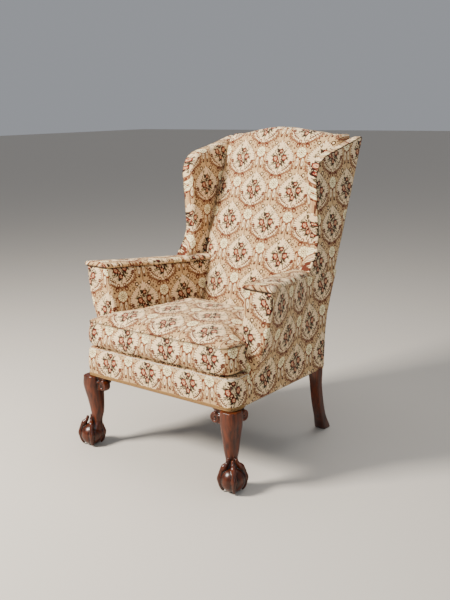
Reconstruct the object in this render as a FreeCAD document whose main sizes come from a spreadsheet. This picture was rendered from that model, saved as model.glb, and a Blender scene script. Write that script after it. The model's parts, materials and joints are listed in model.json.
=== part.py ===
import FreeCAD, Part
import Sketcher
import math
import os
import re

doc = FreeCAD.newDocument("wingback_armchair")

# Driving sizes in millimetres. Distances back are from the face of the front seat rail's cover,
# and heights are from the floor.
SIZES = [
    ("seat_front_half", 330, "half the seat's width at the front"),
    ("seat_rear_half", 306, "half the seat's and the back's width at the rear"),
    ("cover", 3, "upholstery fabric with its wadding"),
    ("rail_bottom", 265, "underside of the seat rails"),
    ("rail_height", 80, "height of the seat rails"),
    ("rail_thick", 28, "thickness of the seat rails"),
    ("hem", 3, "how far the covers hang below the rails"),
    ("corner_round", 25, "rounding of the seat's front corners"),
    ("post_side", 50, "square post at the top of a front leg"),
    ("foot_in", 5, "middle of a front foot inside the seat's side"),
    ("foot_y", 3, "middle of a front foot, back from the rail's face"),
    ("foot_radius", 47, "reach of the claws round a front foot"),
    ("ball_radius", 41, "ball held by the claws"),
    ("ball_height", 40, "middle of the ball above the floor"),
    ("claw_radius", 11, "half the thickness of a claw"),
    ("leg_top_width", 68, "front leg across the corners under the cover"),
    ("knee_width", 71, "front leg across the corners at the knee"),
    ("knee_z", 226, "height of the knee"),
    ("calf_width", 57, "front leg across the corners under the knee"),
    ("calf_z", 172, "height of the calf"),
    ("shin_width", 46, "front leg across the corners at the shin"),
    ("shin_z", 125, "height of the shin"),
    ("ankle_width", 34, "front leg across the corners at the ankle"),
    ("ankle_z", 90, "height of the ankle"),
    ("cuff_width", 42, "front leg across the corners on the ball"),
    ("knee_softness", 0.26, "rounding of the knee's corners as a share of its width"),
    ("calf_softness", 0.32, "the same for the calf"),
    ("shin_softness", 0.38, "the same for the shin"),
    ("ankle_softness", 0.42, "the same for the ankle"),
    ("knee_back", 16, "knee's middle behind the foot's, along the diagonal"),
    ("shin_back", 20, "shin's middle behind the foot's, along the diagonal"),
    ("ear_length", 52, "knee ear along the rail"),
    ("ear_drop", 50, "knee ear below the cover"),
    ("ear_thick", 26, "thickness of a knee ear"),
    ("ear_start", 21, "start of a knee ear from the knee's middle"),
    ("ear_round", 17, "rounding of a knee ear's scroll"),
    ("ear_rise", 5, "rise of a knee ear's underside towards the knee"),
    ("rear_foot_in", 59, "middle of a rear foot inside the seat's side"),
    ("rear_foot_y", 639, "middle of a rear foot, back from the rail's face"),
    ("rear_foot_side", 46, "side of a rear foot"),
    ("rear_shin_side", 36, "side of a rear leg at half height"),
    ("rear_leg_sweep", 1.9, "how late a rear leg sweeps back, as a power"),
    ("back_foot_y", 553, "outside back at the rails' underside"),
    ("back_low_rake", 0.06, "slope of the lower outside back"),
    ("back_top_y", 808, "outside back at its top edge"),
    ("back_rake", 0.385, "slope of the upper outside back"),
    ("back_bend", 548, "radius of the bend between the two slopes"),
    ("back_frame", 35, "depth of the back frame's timber"),
    ("back_post_width", 38, "width of a back post"),
    ("back_pad", 105, "thickness of the back in the middle"),
    ("back_crown", 30, "inside back's sides behind its middle"),
    ("back_roll", 30, "rounding of the back's top front edge"),
    ("crest_z", 1103, "top of the back in the middle"),
    ("crest_rise", 26.5, "rise of the crest's middle over its shoulders"),
    ("crest_end", 66, "sideways distance of the crest's shoulders from its ends"),
    ("crest_fall", 5, "fall of the crest from its shoulders to its ends"),
    ("crest_edge", 14, "outside back's top edge below the crest"),
    ("crest_padding", 20, "stuffing over the crest rail"),
    ("crest_rail_height", 118, "underside of the crest rail below the crest"),
    ("arm_front_y", 98, "front face of the arms"),
    ("arm_join_y", 450, "where the outside arm meets the wing's plane"),
    ("arm_flare", 88, "how far the arm's front stands out at seam height"),
    ("arm_bulge", 22, "fullness of the outside arm's front"),
    ("arm_seam_front_z", 630, "seam under the arm pad at the front"),
    ("arm_seam_rear_z", 609, "seam under the arm pad at the wing"),
    ("arm_pad_edge", 6, "edge of the arm pad"),
    ("arm_pad_rise", 17, "crown of the arm pad over its seam"),
    ("arm_in_front", 46, "foot of the inside arm from the seat's side, front"),
    ("arm_in_rear", 108, "foot of the inside arm from the seat's side, rear"),
    ("arm_inner_rear_y", 500, "where the rear figure is taken"),
    ("arm_inner_lean", 21, "how far the inside arm leans out to its seam"),
    ("arm_rail_z", 600, "top of the arm rails"),
    ("arm_rail_thick", 26, "thickness of the arm rails"),
    ("arm_stump_depth", 45, "arm stump, front to back"),
    ("arm_stump_thick", 30, "arm stump, side to side"),
    ("arm_core_in", 0.8, "arm's core inside the outside arm's cover below the seam"),
    ("frame_in_low", 38, "foot of the arm frame's inner side from the seat's side, front"),
    ("frame_in_high", 5, "top of the arm frame's inner side from the seat's side, front"),
    ("frame_in_rear", 44, "arm frame's inner side from the seat's side, rear"),
    ("wing_thick", 48, "thickness of a wing"),
    ("wing_board", 25, "thickness of the wing's timber"),
    ("wing_strip", 45, "width of the wing's timber"),
    ("wing_edge", 12, "stuffing over the wing's timber edges"),
    ("wing_roll", 18, "rounding of the wing's inner edge"),
    ("wing_sweep_y", 440, "foot of the wing's sweep on the arm"),
    ("wing_waist_y", 519.5, "corner of the sweep and the wing's front"),
    ("wing_waist_z", 711, "height of that corner"),
    ("wing_waist_round", 128, "rounding of that corner"),
    ("wing_top_y", 498, "corner of the wing's front and top"),
    ("wing_top_drop", 105, "that corner below the crest"),
    ("wing_top_round", 83, "rounding of that corner"),
    ("wing_top_slope", 0.235, "rise of the wing's top towards the back"),
    ("canvas", 2, "thickness of the spring canvas"),
    ("web_thick", 1.5, "thickness of the seat and back webbing"),
    ("web_width", 50, "width of the webbing"),
    ("web_margin", 4, "ends of the seat webbing inside the covers' faces"),
    ("back_web_step", 124, "spacing of the back's upright webs"),
    ("tacking_height", 42, "height of the tacking rail"),
    ("spring_radius", 34, "middle of a spring's wire, sideways"),
    ("spring_wire", 3.6, "diameter of the spring wire"),
    ("spring_pitch", 15.2, "rise of a spring in one turn"),
    ("spring_step_x", 155, "springs' spacing sideways"),
    ("spring_step_y", 120, "springs' spacing front to back"),
    ("spring_middle_y", 255, "middle row of springs"),
    ("bottom_cloth", 1, "thickness of the bottom cloth"),
    ("border_top", 366, "top of the front border and of the platform"),
    ("braid_height", 12, "height of the braid"),
    ("braid_thick", 2.5, "thickness of the braid"),
    ("braid_return", 58, "how far the braid goes round the corners"),
    ("cushion_overhang", 12, "cushion's front before the rail's face"),
    ("cushion_in", 8, "cushion's front corners inside the seat's"),
    ("cushion_seam_z", 461, "upper seam of the cushion"),
    ("cushion_top_z", 497, "top of the cushion's crown"),
    ("cushion_corner", 36, "rounding of the cushion's front corners"),
    ("cushion_edge", 9, "rounding of the cushion's lower edge"),
    ("cushion_hollow", 4, "how far the cushion's sides draw in between its seams"),
    ("cushion_crown", 150, "how far the cushion's crown reaches in from its seam"),
    ("cushion_gap", 0.5, "clearance round the cushion"),
    ("dowel_radius", 5, "radius of the dowels"),
    ("dowel_length", 50, "length of the dowels"),
    ("dowel_step", 36, "distance between two dowels in a joint"),
    ("dowel_shift", 12, "side rails' dowels above the front and rear rails' dowels"),
    ("block_reach", 62, "corner block along its rails"),
    ("block_height", 40, "height of a corner block"),
    ("screw_radius", 2.5, "radius of a corner block's screw"),
    ("screw_length", 48, "length of that screw"),
    ("screw_head", 5, "radius of its head"),
]

dims = doc.addObject("Spreadsheet::Sheet", "dims")
for row, (alias, value, meaning) in enumerate(SIZES, 1):
    dims.set(f"A{row}", meaning)
    dims.set(f"B{row}", str(value))
    dims.setAlias(f"B{row}", alias)
doc.recompute()

ALIASES = {alias for alias, value, meaning in SIZES}

# The row's origin lies under the middle of the whole chair, so the front rail's face lies before it.
FRONT_TEXT = "(ball_radius - foot_y - back_top_y - back_rake * crest_edge + cover) / 2"
FRONT = (dims.ball_radius - dims.foot_y - dims.back_top_y - dims.back_rake * dims.crest_edge + dims.cover) / 2

rail_top = dims.rail_bottom + dims.rail_height
hem_z = dims.rail_bottom - dims.hem
back_top_z = dims.crest_z - dims.crest_edge
post_inner = dims.seat_rear_half - dims.cover - dims.back_post_width
frame_depth = dims.cover + dims.back_frame
foot_x = dims.seat_front_half - dims.foot_in
rear_foot_x = dims.seat_rear_half - dims.rear_foot_in
back_pad_half = dims.seat_rear_half - dims.wing_thick
crest_rail_z = dims.crest_z - dims.crest_rail_height
wing_top_z = dims.crest_z - dims.wing_top_drop
frame_rear = dims.seat_rear_half - dims.frame_in_rear
cushion_front_half = dims.seat_front_half - dims.cushion_in
beyond = 60
near = 0.01

nodes = []


def bound(text):
    """The text of an expression, with each size's name pointing at its cell."""
    def cell(word):
        return "dims." + word.group() if word.group() in ALIASES else word.group()
    return re.sub(r"[a-z_]+", cell, text)


def at(x, y, z):
    """A point from its distance sideways, back from the front rail's face, and up."""
    return FreeCAD.Vector(x, FRONT + y, z)


def keep(item):
    """Makes an object one of the chair's pieces."""
    nodes.append(item)
    return item


def piece(name, shape):
    """A piece whose form comes from lofts or cuts."""
    item = doc.addObject("Part::Feature", name)
    item.Label = name
    item.Shape = shape
    return keep(item)


def mirrored(source, name):
    """The same piece for the chair's other side."""
    item = doc.addObject("Part::Mirroring", name)
    item.Label = name
    item.Source = source
    item.Normal = (1, 0, 0)
    item.Base = (0, 0, 0)
    return keep(item)


def pair(name, shape):
    """A right-hand piece and its mirrored left-hand twin."""
    right = piece(name + "_right", shape)
    return right, mirrored(right, name + "_left")


def box(name, length, width, height, x, y, z):
    """A block of timber whose sizes and place follow the sheet."""
    item = doc.addObject("Part::Box", name)
    for key, text in (("Length", length), ("Width", width), ("Height", height), ("Placement.Base.x", x),
                      ("Placement.Base.y", FRONT_TEXT + " + " + y), ("Placement.Base.z", z)):
        item.setExpression(key, bound(text))
    return item


def pad(name, corners, start, height):
    """A body padded up from a sketch whose corners are expressions of the sheet, each with its place."""
    body = doc.addObject("PartDesign::Body", name)
    body.Label = name
    sketch = body.newObject("Sketcher::SketchObject", name + "_sketch")
    plane = next(plane for plane in body.Origin.OriginFeatures if plane.Role == "XY_Plane")
    sketch.AttachmentSupport = [(plane, "")]
    sketch.MapMode = "FlatFace"
    sketch.setExpression("AttachmentOffset.Base.z", bound(start))
    doc.recompute()
    places = [at(*place, 0) for texts, place in corners]
    for first, second in zip(places, places[1:] + places[:1]):
        sketch.addGeometry(Part.LineSegment(first, second), False)
    for number in range(len(places)):
        sketch.addConstraint(Sketcher.Constraint("Coincident", number, 2, (number + 1) % len(places), 1))
    for number, ((x_text, y_text), place) in enumerate(corners):
        for kind, text, value in (("DistanceX", x_text, places[number].x),
                                  ("DistanceY", FRONT_TEXT + " + " + y_text, places[number].y)):
            index = sketch.addConstraint(Sketcher.Constraint(kind, -1, 1, number, 1, value))
            sketch.setExpression(f"Constraints[{index}]", bound(text))
    made = body.newObject("PartDesign::Pad", name + "_pad")
    made.Profile = sketch
    made.setExpression("Length", bound(height))
    body.Tip = made
    doc.recompute()
    return body


def cut_object(name, base, tool):
    """The piece left of one object when another is taken out of it."""
    item = doc.addObject("Part::Cut", name)
    item.Label = name
    item.Base = base
    item.Tool = tool
    return keep(item)


def block(x0, x1, y0, y1, z0, z1):
    """A plain block between two corners, to cut or keep with."""
    return Part.makeBox(x1 - x0, y1 - y0, z1 - z0, at(x0, y0, z0))


def outline(points, radii, lift):
    """A closed outline of straight sides with an arc at each corner that has a radius."""
    edges = []
    last = None
    first = None
    corners = [FreeCAD.Vector(u, v, 0) for u, v in points]
    for number, corner in enumerate(corners):
        before = (corners[number - 1] - corner).normalize()
        after = (corners[(number + 1) % len(corners)] - corner).normalize()
        start = end = corner
        if radii[number] > 0:
            half = before.getAngle(after) / 2
            reach = radii[number] / math.tan(half)
            start = corner + before * reach
            end = corner + after * reach
            centre = corner + (before + after).normalize() * (radii[number] / math.sin(half))
            middle = centre + (corner - centre).normalize() * radii[number]
        if last is not None:
            edges.append(Part.LineSegment(lift(last), lift(start)).toShape())
        if radii[number] > 0:
            edges.append(Part.Arc(lift(start), lift(middle), lift(end)).toShape())
        first = start if first is None else first
        last = end
    edges.append(Part.LineSegment(lift(last), lift(first)).toShape())
    return Part.Wire(edges)


def inset(points, distances):
    """The corners of an anticlockwise outline whose sides move inwards, each by its distance."""
    sides = []
    for number, (u, v) in enumerate(points):
        following = points[(number + 1) % len(points)]
        along = FreeCAD.Vector(following[0] - u, following[1] - v, 0).normalize()
        inwards = FreeCAD.Vector(-along.y, along.x, 0)
        sides.append((FreeCAD.Vector(u, v, 0) + inwards * distances[number], along))
    moved = []
    for number in range(len(points)):
        base, along = sides[number - 1]
        other, across = sides[number]
        gap = other - base
        step = (gap.x * across.y - gap.y * across.x) / (along.x * across.y - along.y * across.x)
        corner = base + along * step
        moved.append((corner.x, corner.y))
    return moved


def in_plan(z):
    """Lifts outline points to a height, as distances sideways and back."""
    return lambda point: at(point.x, point.y, z)


def from_side(x):
    """Lifts outline points to a distance sideways, as distances back and up."""
    return lambda point: at(x, point.x, point.y)


def prism(wire, direction):
    """The solid that a closed outline sweeps."""
    return Part.Face(wire).extrude(direction)


def loft_back(stations, section):
    """A ruled loft through sections that lie one behind another."""
    wires = []
    for y in stations:
        edges = []
        for run in section(y):
            points = [at(x, y, z) for x, z in run]
            curve = Part.LineSegment(*points) if len(points) == 2 else Part.BSplineCurve()
            if len(points) > 2:
                curve.interpolate(points)
            edges.append(curve.toShape())
        wires.append(Part.Wire(edges))
    return Part.makeLoft(wires, True, True)


def straight(*points):
    """Straight runs through a ring of points."""
    return [[first, second] for first, second in zip(points, points[1:] + points[:1])]


def side_x(y):
    """Outside of the seat's side at a distance back, level once it meets the back."""
    share = min(y, dims.back_foot_y) / dims.back_foot_y
    return dims.seat_front_half - (dims.seat_front_half - dims.seat_rear_half) * share


def low_back_y(z):
    """Lower slope of the outside back."""
    return dims.back_foot_y + dims.back_low_rake * (z - dims.rail_bottom)


def high_back_y(z):
    """Upper slope of the outside back."""
    return dims.back_top_y + dims.back_rake * (z - back_top_z)


bend_lead = dims.back_foot_y - high_back_y(dims.rail_bottom)
bend_z = dims.rail_bottom + bend_lead / (dims.back_rake - dims.back_low_rake)
bend_turn = math.atan(dims.back_rake) - math.atan(dims.back_low_rake)
bend_reach = dims.back_bend * math.tan(bend_turn / 2)
bend_start_z = bend_z - bend_reach * math.cos(math.atan(dims.back_low_rake))
bend_end_z = bend_z + bend_reach * math.cos(math.atan(dims.back_rake))


def back_y(z):
    """Outside back at a height."""
    if z <= bend_start_z:
        return low_back_y(z)
    if z >= bend_end_z:
        return high_back_y(z)
    centre_y = low_back_y(bend_start_z) + dims.back_bend * math.cos(math.atan(dims.back_low_rake))
    centre_z = bend_start_z - dims.back_bend * math.sin(math.atan(dims.back_low_rake))
    return centre_y - math.sqrt(dims.back_bend ** 2 - (z - centre_z) ** 2)


def back_slab(front, rear, x0, x1, z0, z1):
    """The layer of the back between two distances before the outside back."""
    foot = hem_z - beyond
    top = dims.crest_z + beyond
    points = []
    for shift, heights in ((rear, (foot, bend_z, top)), (front, (top, bend_z, foot))):
        for z in heights:
            points.append(((low_back_y(z) if z <= bend_z else high_back_y(z)) - shift, z))
    radii = [0, dims.back_bend, 0, 0, dims.back_bend, 0]
    slab = prism(outline(points, radii, from_side(x0)), FreeCAD.Vector(x1 - x0, 0, 0))
    return slab.common(block(x0, x1, 0, 2 * dims.back_top_y, z0, z1))


def under_crest(drop):
    """Everything below the serpentine crest line lowered by a distance."""
    half = dims.seat_rear_half + beyond
    shoulder = dims.seat_rear_half - dims.crest_end
    rise = dims.crest_rise
    top = dims.crest_z - drop
    radius = (shoulder ** 2 + rise ** 2) / (4 * rise)
    turn = math.asin(shoulder / 2 / radius) / 2
    hollow = (shoulder - radius * math.sin(turn), top - rise + radius * (1 - math.cos(turn)))
    slope = dims.crest_fall / dims.crest_end
    end = (half, top - rise - slope * (half - shoulder))

    def lift(x, z):
        return at(x, 0, z)
    low = top - rise
    middle = top - rise / 2
    edges = [
        Part.LineSegment(lift(-half, 0), lift(half, 0)),
        Part.LineSegment(lift(half, 0), lift(*end)),
        Part.LineSegment(lift(*end), lift(shoulder, low)),
        Part.Arc(lift(shoulder, low), lift(*hollow), lift(shoulder / 2, middle)),
        Part.Arc(lift(shoulder / 2, middle), lift(0, top), lift(-shoulder / 2, middle)),
        Part.Arc(lift(-shoulder / 2, middle), lift(-hollow[0], hollow[1]), lift(-shoulder, low)),
        Part.LineSegment(lift(-shoulder, low), lift(-end[0], end[1])),
        Part.LineSegment(lift(-end[0], end[1]), lift(-half, 0)),
    ]
    return prism(Part.Wire([edge.toShape() for edge in edges]), FreeCAD.Vector(0, 2 * dims.back_top_y, 0))


def seam_z(y):
    """Seam under the arm pad."""
    share = min(1, (y - dims.arm_front_y) / (dims.arm_join_y - dims.arm_front_y))
    return dims.arm_seam_front_z + (dims.arm_seam_rear_z - dims.arm_seam_front_z) * share


def arm_outer(y, z):
    """Outside arm."""
    share = max(0, (dims.arm_join_y - y) / (dims.arm_join_y - dims.arm_front_y))
    rise = (z - rail_top) / (seam_z(y) - rail_top)
    return side_x(y) + share * (dims.arm_flare * rise + 4 * dims.arm_bulge * rise * (1 - rise))


def arm_inner(y, z):
    """Inside arm."""
    share = (y - dims.arm_front_y) / (dims.arm_inner_rear_y - dims.arm_front_y)
    front = dims.seat_front_half - dims.arm_in_front
    foot = front + (dims.seat_rear_half - dims.arm_in_rear - front) * share
    return foot + dims.arm_inner_lean * (z - rail_top) / (seam_z(y) - rail_top)


def arm_frame(y, z):
    """Inner side of the arm's timber, behind the stuffing."""
    share = min(1, (y - dims.arm_front_y) / (dims.arm_inner_rear_y - dims.arm_front_y))
    height = (z - rail_top) / (dims.arm_rail_z - rail_top)
    front = dims.seat_front_half - dims.frame_in_low + (dims.frame_in_low - dims.frame_in_high) * height
    return front + (frame_rear - front) * share


arm_core_y = dims.arm_front_y + dims.cover
arm_rear_y = dims.back_top_y
arm_stations = [arm_core_y, dims.arm_join_y, dims.arm_inner_rear_y, dims.back_foot_y, arm_rear_y]


def outer_run(y, shift):
    """The outside arm's curve from its foot to its seam."""
    middle = (rail_top + seam_z(y)) / 2
    return [(arm_outer(y, z) - shift, z) for z in (rail_top, middle, seam_z(y))]


def inside_arm_section(y):
    top = seam_z(y)
    foot_x = arm_inner(y, rail_top)
    top_x = arm_inner(y, top)
    return straight((foot_x, rail_top), (foot_x + dims.cover, rail_top), (top_x + dims.cover, top),
                    (top_x, top))


def arm_stuffing_section(y):
    top = seam_z(y)
    shelf = dims.arm_rail_z
    core_in = dims.cover + dims.arm_core_in
    return straight((arm_inner(y, rail_top) + dims.cover, rail_top), (arm_frame(y, rail_top), rail_top),
                    (arm_frame(y, shelf), shelf), (arm_outer(y, shelf) - core_in, shelf),
                    (arm_outer(y, top) - dims.cover, top), (arm_inner(y, top) + dims.cover, top))


def outside_arm_section(y):
    outer = outer_run(y, 0)
    inner = outer_run(y, dims.cover)
    return [outer, [outer[-1], inner[-1]], inner[::-1], [inner[0], outer[0]]]


def outside_rail_section(y):
    x = side_x(y)
    return straight((x - dims.cover, hem_z), (x, hem_z), (x, rail_top), (x - dims.cover, rail_top))


def arm_face_section(y):
    outer = outer_run(y, 0)
    foot = (arm_inner(y, rail_top), rail_top)
    top = (arm_inner(y, seam_z(y)), seam_z(y))
    return [[foot, outer[0]], outer, [outer[-1], top], [top, foot]]


def arm_pad_section(y):
    low = seam_z(y)
    edge = low + dims.arm_pad_edge
    crown = low + dims.arm_pad_rise
    left = arm_inner(y, low)
    right = arm_outer(y, low)
    return [[(left, low), (right, low)], [(right, low), (right, edge)],
            [(right, edge), ((left + right) / 2, crown), (left, edge)], [(left, edge), (left, low)]]


def arm_zone_section(y):
    top = seam_z(y) + dims.arm_pad_rise
    reach = arm_outer(y, seam_z(y)) + beyond
    return straight((arm_inner(y, rail_top), rail_top - beyond), (reach, rail_top - beyond), (reach, top),
                    (arm_inner(y, seam_z(y)), top), (arm_inner(y, seam_z(y)), seam_z(y)),
                    (arm_inner(y, rail_top), rail_top))


# The wings: a side outline, moved inwards for the layers inside


wing_outer_x = dims.seat_rear_half
wing_inner_x = wing_outer_x - dims.wing_thick
timber_x = wing_outer_x - dims.cover - dims.wing_board


def wing_points(edge):
    """Side outline of the wing, with its front, top and sweep moved in by a distance."""
    rear = dims.back_top_y - dims.cover
    top_meet = wing_top_z + dims.wing_top_slope * (rear - dims.wing_top_y - dims.back_rake * back_top_z)
    top_z = top_meet / (1 - dims.wing_top_slope * dims.back_rake)
    points = [
        (dims.wing_sweep_y, dims.arm_rail_z),
        (high_back_y(dims.arm_rail_z) - dims.cover, dims.arm_rail_z),
        (high_back_y(top_z) - dims.cover, top_z),
        (dims.wing_top_y, wing_top_z),
        (dims.wing_waist_y, dims.wing_waist_z),
    ]
    return inset(points, [0, 0, edge, edge, edge])


def wing_outline(edge, x):
    radii = [0, 0, 0, dims.wing_top_round - edge, dims.wing_waist_round + edge]
    return outline(wing_points(edge), radii, from_side(x))


def wing_layer(edge, x0, x1):
    """The wing's outline as a board between two distances sideways."""
    return prism(wing_outline(edge, x0), FreeCAD.Vector(x1 - x0, 0, 0))


def wing_form(edge, x0, x1, roll):
    """The wing's outline with its inner edge rolled over along the front and the top."""
    solid = wing_layer(edge, x0, x1)
    rear_z = wing_points(edge)[2][1]

    def on_roll(rim):
        low = min(vertex.Z for vertex in rim.Vertexes)
        high = max(vertex.Z for vertex in rim.Vertexes)
        inner = all(abs(vertex.X - x0) < near for vertex in rim.Vertexes)
        rear = high > rear_z - near and low < dims.arm_rail_z + near
        return inner and not rear and high > dims.arm_rail_z + near
    return solid.makeFillet(roll, [rim for rim in solid.Edges if on_roll(rim)])


# Seat frame


def front_leg_section(width, back, z, soft):
    """A square with rounded corners, given its width across them and its distance behind the foot."""
    radius = width * soft
    half = (width + 2 * radius * (math.sqrt(2) - 1)) / math.sqrt(8)
    x = foot_x - back / math.sqrt(2)
    y = dims.foot_y + back / math.sqrt(2)
    corners = [(x - half, y - half), (x + half, y - half), (x + half, y + half), (x - half, y + half)]
    return outline(corners, [radius] * 4, in_plan(z))


post_outer_x = side_x(dims.cover + dims.post_side) - dims.cover
post_inner_x = post_outer_x - dims.post_side
post_rear_y = dims.cover + dims.post_side
rear_post_y = low_back_y(hem_z) - dims.cover - dims.back_frame
rail_middle_z = (dims.rail_bottom + rail_top) / 2


def dowel(x, y, z, along):
    """One dowel with its middle at a joint."""
    direction = FreeCAD.Vector(*along)
    start = at(x, y, z) - direction * (dims.dowel_length / 2)
    return Part.makeCylinder(dims.dowel_radius, dims.dowel_length, start, direction)


def frame_dowel_solids():
    solids = []
    rail_middle = dims.cover + dims.rail_thick / 2
    for side in (-1, 1):
        for lift in (-dims.dowel_step / 2, dims.dowel_step / 2):
            front_side_x = side_x(post_rear_y) - rail_middle
            rear_side_x = side_x(rear_post_y) - rail_middle
            rear_rail_y = dims.back_foot_y - rail_middle
            z = rail_middle_z + lift
            solids.append(dowel(side * post_inner_x, rail_middle, z, (1, 0, 0)))
            solids.append(dowel(side * front_side_x, post_rear_y, z + dims.dowel_shift, (0, 1, 0)))
            solids.append(dowel(side * post_inner, rear_rail_y, z, (1, 0, 0)))
            solids.append(dowel(side * rear_side_x, rear_post_y, z + dims.dowel_shift, (0, 1, 0)))
    return solids


frame_dowels = piece("frame_dowels", Part.makeCompound(frame_dowel_solids()))


def corner_block_points(side, end):
    """A corner block seen from above: two sides on the rails and one across."""
    inside = dims.cover + dims.rail_thick
    if end == "front":
        points = [(post_inner_x - dims.block_reach, inside), (post_inner_x, inside),
                  (post_inner_x, post_rear_y), (side_x(post_rear_y) - inside, post_rear_y),
                  (side_x(post_rear_y + dims.block_reach) - inside, post_rear_y + dims.block_reach)]
    else:
        rail_y = dims.back_foot_y - inside
        block_y = rear_post_y - dims.block_reach
        points = [(side_x(block_y) - inside, block_y), (side_x(rear_post_y) - inside, rear_post_y),
                  (post_inner, rear_post_y), (post_inner, rail_y), (post_inner - dims.block_reach, rail_y)]
    return [(side * x, y) for x, y in points]


def corner_screw(side, end):
    """A screw from the middle of a corner block's long face into the post."""
    points = corner_block_points(side, end)
    first = FreeCAD.Vector(points[0][0], points[0][1], 0)
    last = FreeCAD.Vector(points[-1][0], points[-1][1], 0)
    along = (last - first).normalize()
    inwards = FreeCAD.Vector(-along.y, along.x, 0)
    corner = FreeCAD.Vector(points[2][0], points[2][1], 0)
    if inwards.dot(corner - first) < 0:
        inwards = inwards * -1
    start = (first + last) * 0.5
    place = at(start.x, start.y, rail_middle_z)
    shank = Part.makeCylinder(dims.screw_radius, dims.screw_length, place, inwards)
    taper = dims.screw_head - dims.screw_radius
    head = Part.makeCone(dims.screw_head, dims.screw_radius, taper, place, inwards)
    return shank.fuse(head)


corners = [(side, end) for side in (-1, 1) for end in ("front", "rear")]
screws = [corner_screw(*corner) for corner in corners]
corner_block_screws = piece("corner_block_screws", Part.makeCompound(screws))


def corner_block_solids():
    solids = []
    for (side, end), screw in zip(corners, screws):
        points = corner_block_points(side, end)
        wire = outline(points, [0] * len(points), in_plan(rail_middle_z - dims.block_height / 2))
        solids.append(prism(wire, FreeCAD.Vector(0, 0, dims.block_height)).cut(screw))
    return solids


piece("corner_blocks", Part.makeCompound(corner_block_solids()))


def claw_ring(across):
    """Two claws opposite each other, as a ring round the ball."""
    centre = at(foot_x, dims.foot_y, dims.ball_height)
    return Part.makeTorus(dims.foot_radius - dims.claw_radius, dims.claw_radius, centre, across)


def front_leg_shape():
    """Cabriole leg with its post, and claws round a ball that is flat where it stands."""
    cuff_z = dims.ball_height + dims.ball_radius / 2
    calf_back = (dims.knee_back + dims.shin_back) / 2
    sections = [
        front_leg_section(dims.leg_top_width, dims.knee_back, hem_z, dims.knee_softness),
        front_leg_section(dims.knee_width, dims.knee_back, dims.knee_z, dims.knee_softness),
        front_leg_section(dims.calf_width, calf_back, dims.calf_z, dims.calf_softness),
        front_leg_section(dims.shin_width, dims.shin_back, dims.shin_z, dims.shin_softness),
        front_leg_section(dims.ankle_width, dims.shin_back, dims.ankle_z, dims.ankle_softness),
        front_leg_section(dims.cuff_width, dims.shin_back / 2, cuff_z, dims.ankle_softness),
    ]
    leg = Part.makeLoft(sections, True, False)
    post = block(post_inner_x, post_outer_x, dims.cover, post_rear_y, hem_z, rail_top)
    corner = at(post_outer_x, dims.cover, (hem_z + rail_top) / 2)
    corner_edges = [rim for rim in post.Edges if rim.CenterOfMass.distanceToPoint(corner) < near]
    post = post.makeFillet(dims.corner_round - dims.cover, corner_edges)
    ball = Part.makeSphere(dims.ball_radius, at(foot_x, dims.foot_y, dims.ball_height))
    whole = leg.fuse([post, ball, claw_ring(FreeCAD.Vector(1, 1, 0)), claw_ring(FreeCAD.Vector(1, -1, 0))])
    under_floor = block(0, 2 * foot_x, -beyond, 2 * beyond, -beyond, 0)
    return whole.cut(Part.makeCompound([under_floor] + frame_dowels.Shape.Solids + screws))


front_leg_right, front_leg_left = pair("front_leg", front_leg_shape())


def knee_ear(points, direction):
    """A scrolled bracket glued beside the knee, under the rail."""
    wire = outline(points[0], [0] + [dims.ear_round] * 3, points[1])
    return prism(wire, direction).cut(front_leg_right.Shape)


def ear_outline(start, end):
    """Side view of an ear that is deepest at its scroll."""
    low = hem_z - dims.ear_drop
    return [(start, hem_z), (end, hem_z), (end, low), (start, low + dims.ear_rise)]


knee_x = foot_x - dims.knee_back / math.sqrt(2)
knee_y = dims.foot_y + dims.knee_back / math.sqrt(2)
front_ear = knee_ear((ear_outline(knee_x - dims.ear_start, knee_x - dims.ear_start - dims.ear_length),
                      lambda point: at(point.x, dims.cover, point.y)), FreeCAD.Vector(0, dims.ear_thick, 0))
side_ear_x = side_x(post_rear_y) - dims.cover - dims.ear_thick
side_ear = knee_ear((ear_outline(knee_y + dims.ear_start, knee_y + dims.ear_start + dims.ear_length),
                     from_side(side_ear_x)), FreeCAD.Vector(dims.ear_thick, 0, 0))
knee_ears = [*pair("knee_ear_front", front_ear), *pair("knee_ear_side", side_ear)]


def rear_leg_section(x, y, z, width, depth):
    corners = [(x - width / 2, y - depth / 2), (x + width / 2, y - depth / 2),
               (x + width / 2, y + depth / 2), (x - width / 2, y + depth / 2)]
    return outline(corners, [0] * 4, in_plan(z))


def rear_leg_shape():
    """Square leg that sweeps back from its post in the frame to a wider foot."""
    width = dims.back_post_width
    top_x = post_inner + width / 2
    top_y = rear_post_y + dims.back_frame / 2
    side = dims.rear_shin_side
    sections = [rear_leg_section(top_x, top_y, hem_z, width, dims.back_frame)]
    for share in (0.25, 0.5, 0.75):
        lean = share ** dims.rear_leg_sweep
        x = top_x + (rear_foot_x - top_x) * lean
        y = top_y + (dims.rear_foot_y - top_y) * lean
        sections.append(rear_leg_section(x, y, hem_z * (1 - share), side, side))
    foot = dims.rear_foot_side
    sections.append(rear_leg_section(rear_foot_x, dims.rear_foot_y, 0, foot, foot))
    post = block(post_inner, post_inner + width, rear_post_y, rear_post_y + dims.back_frame, hem_z, rail_top)
    holes = Part.makeCompound(frame_dowels.Shape.Solids + screws)
    return Part.makeLoft(sections, True, False).fuse(post).cut(holes)


rear_leg_right, rear_leg_left = pair("rear_leg", rear_leg_shape())


def side_text(y_text):
    """The seat's side as an expression."""
    return f"(seat_front_half - (seat_front_half - seat_rear_half) * ({y_text}) / back_foot_y)"


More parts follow.
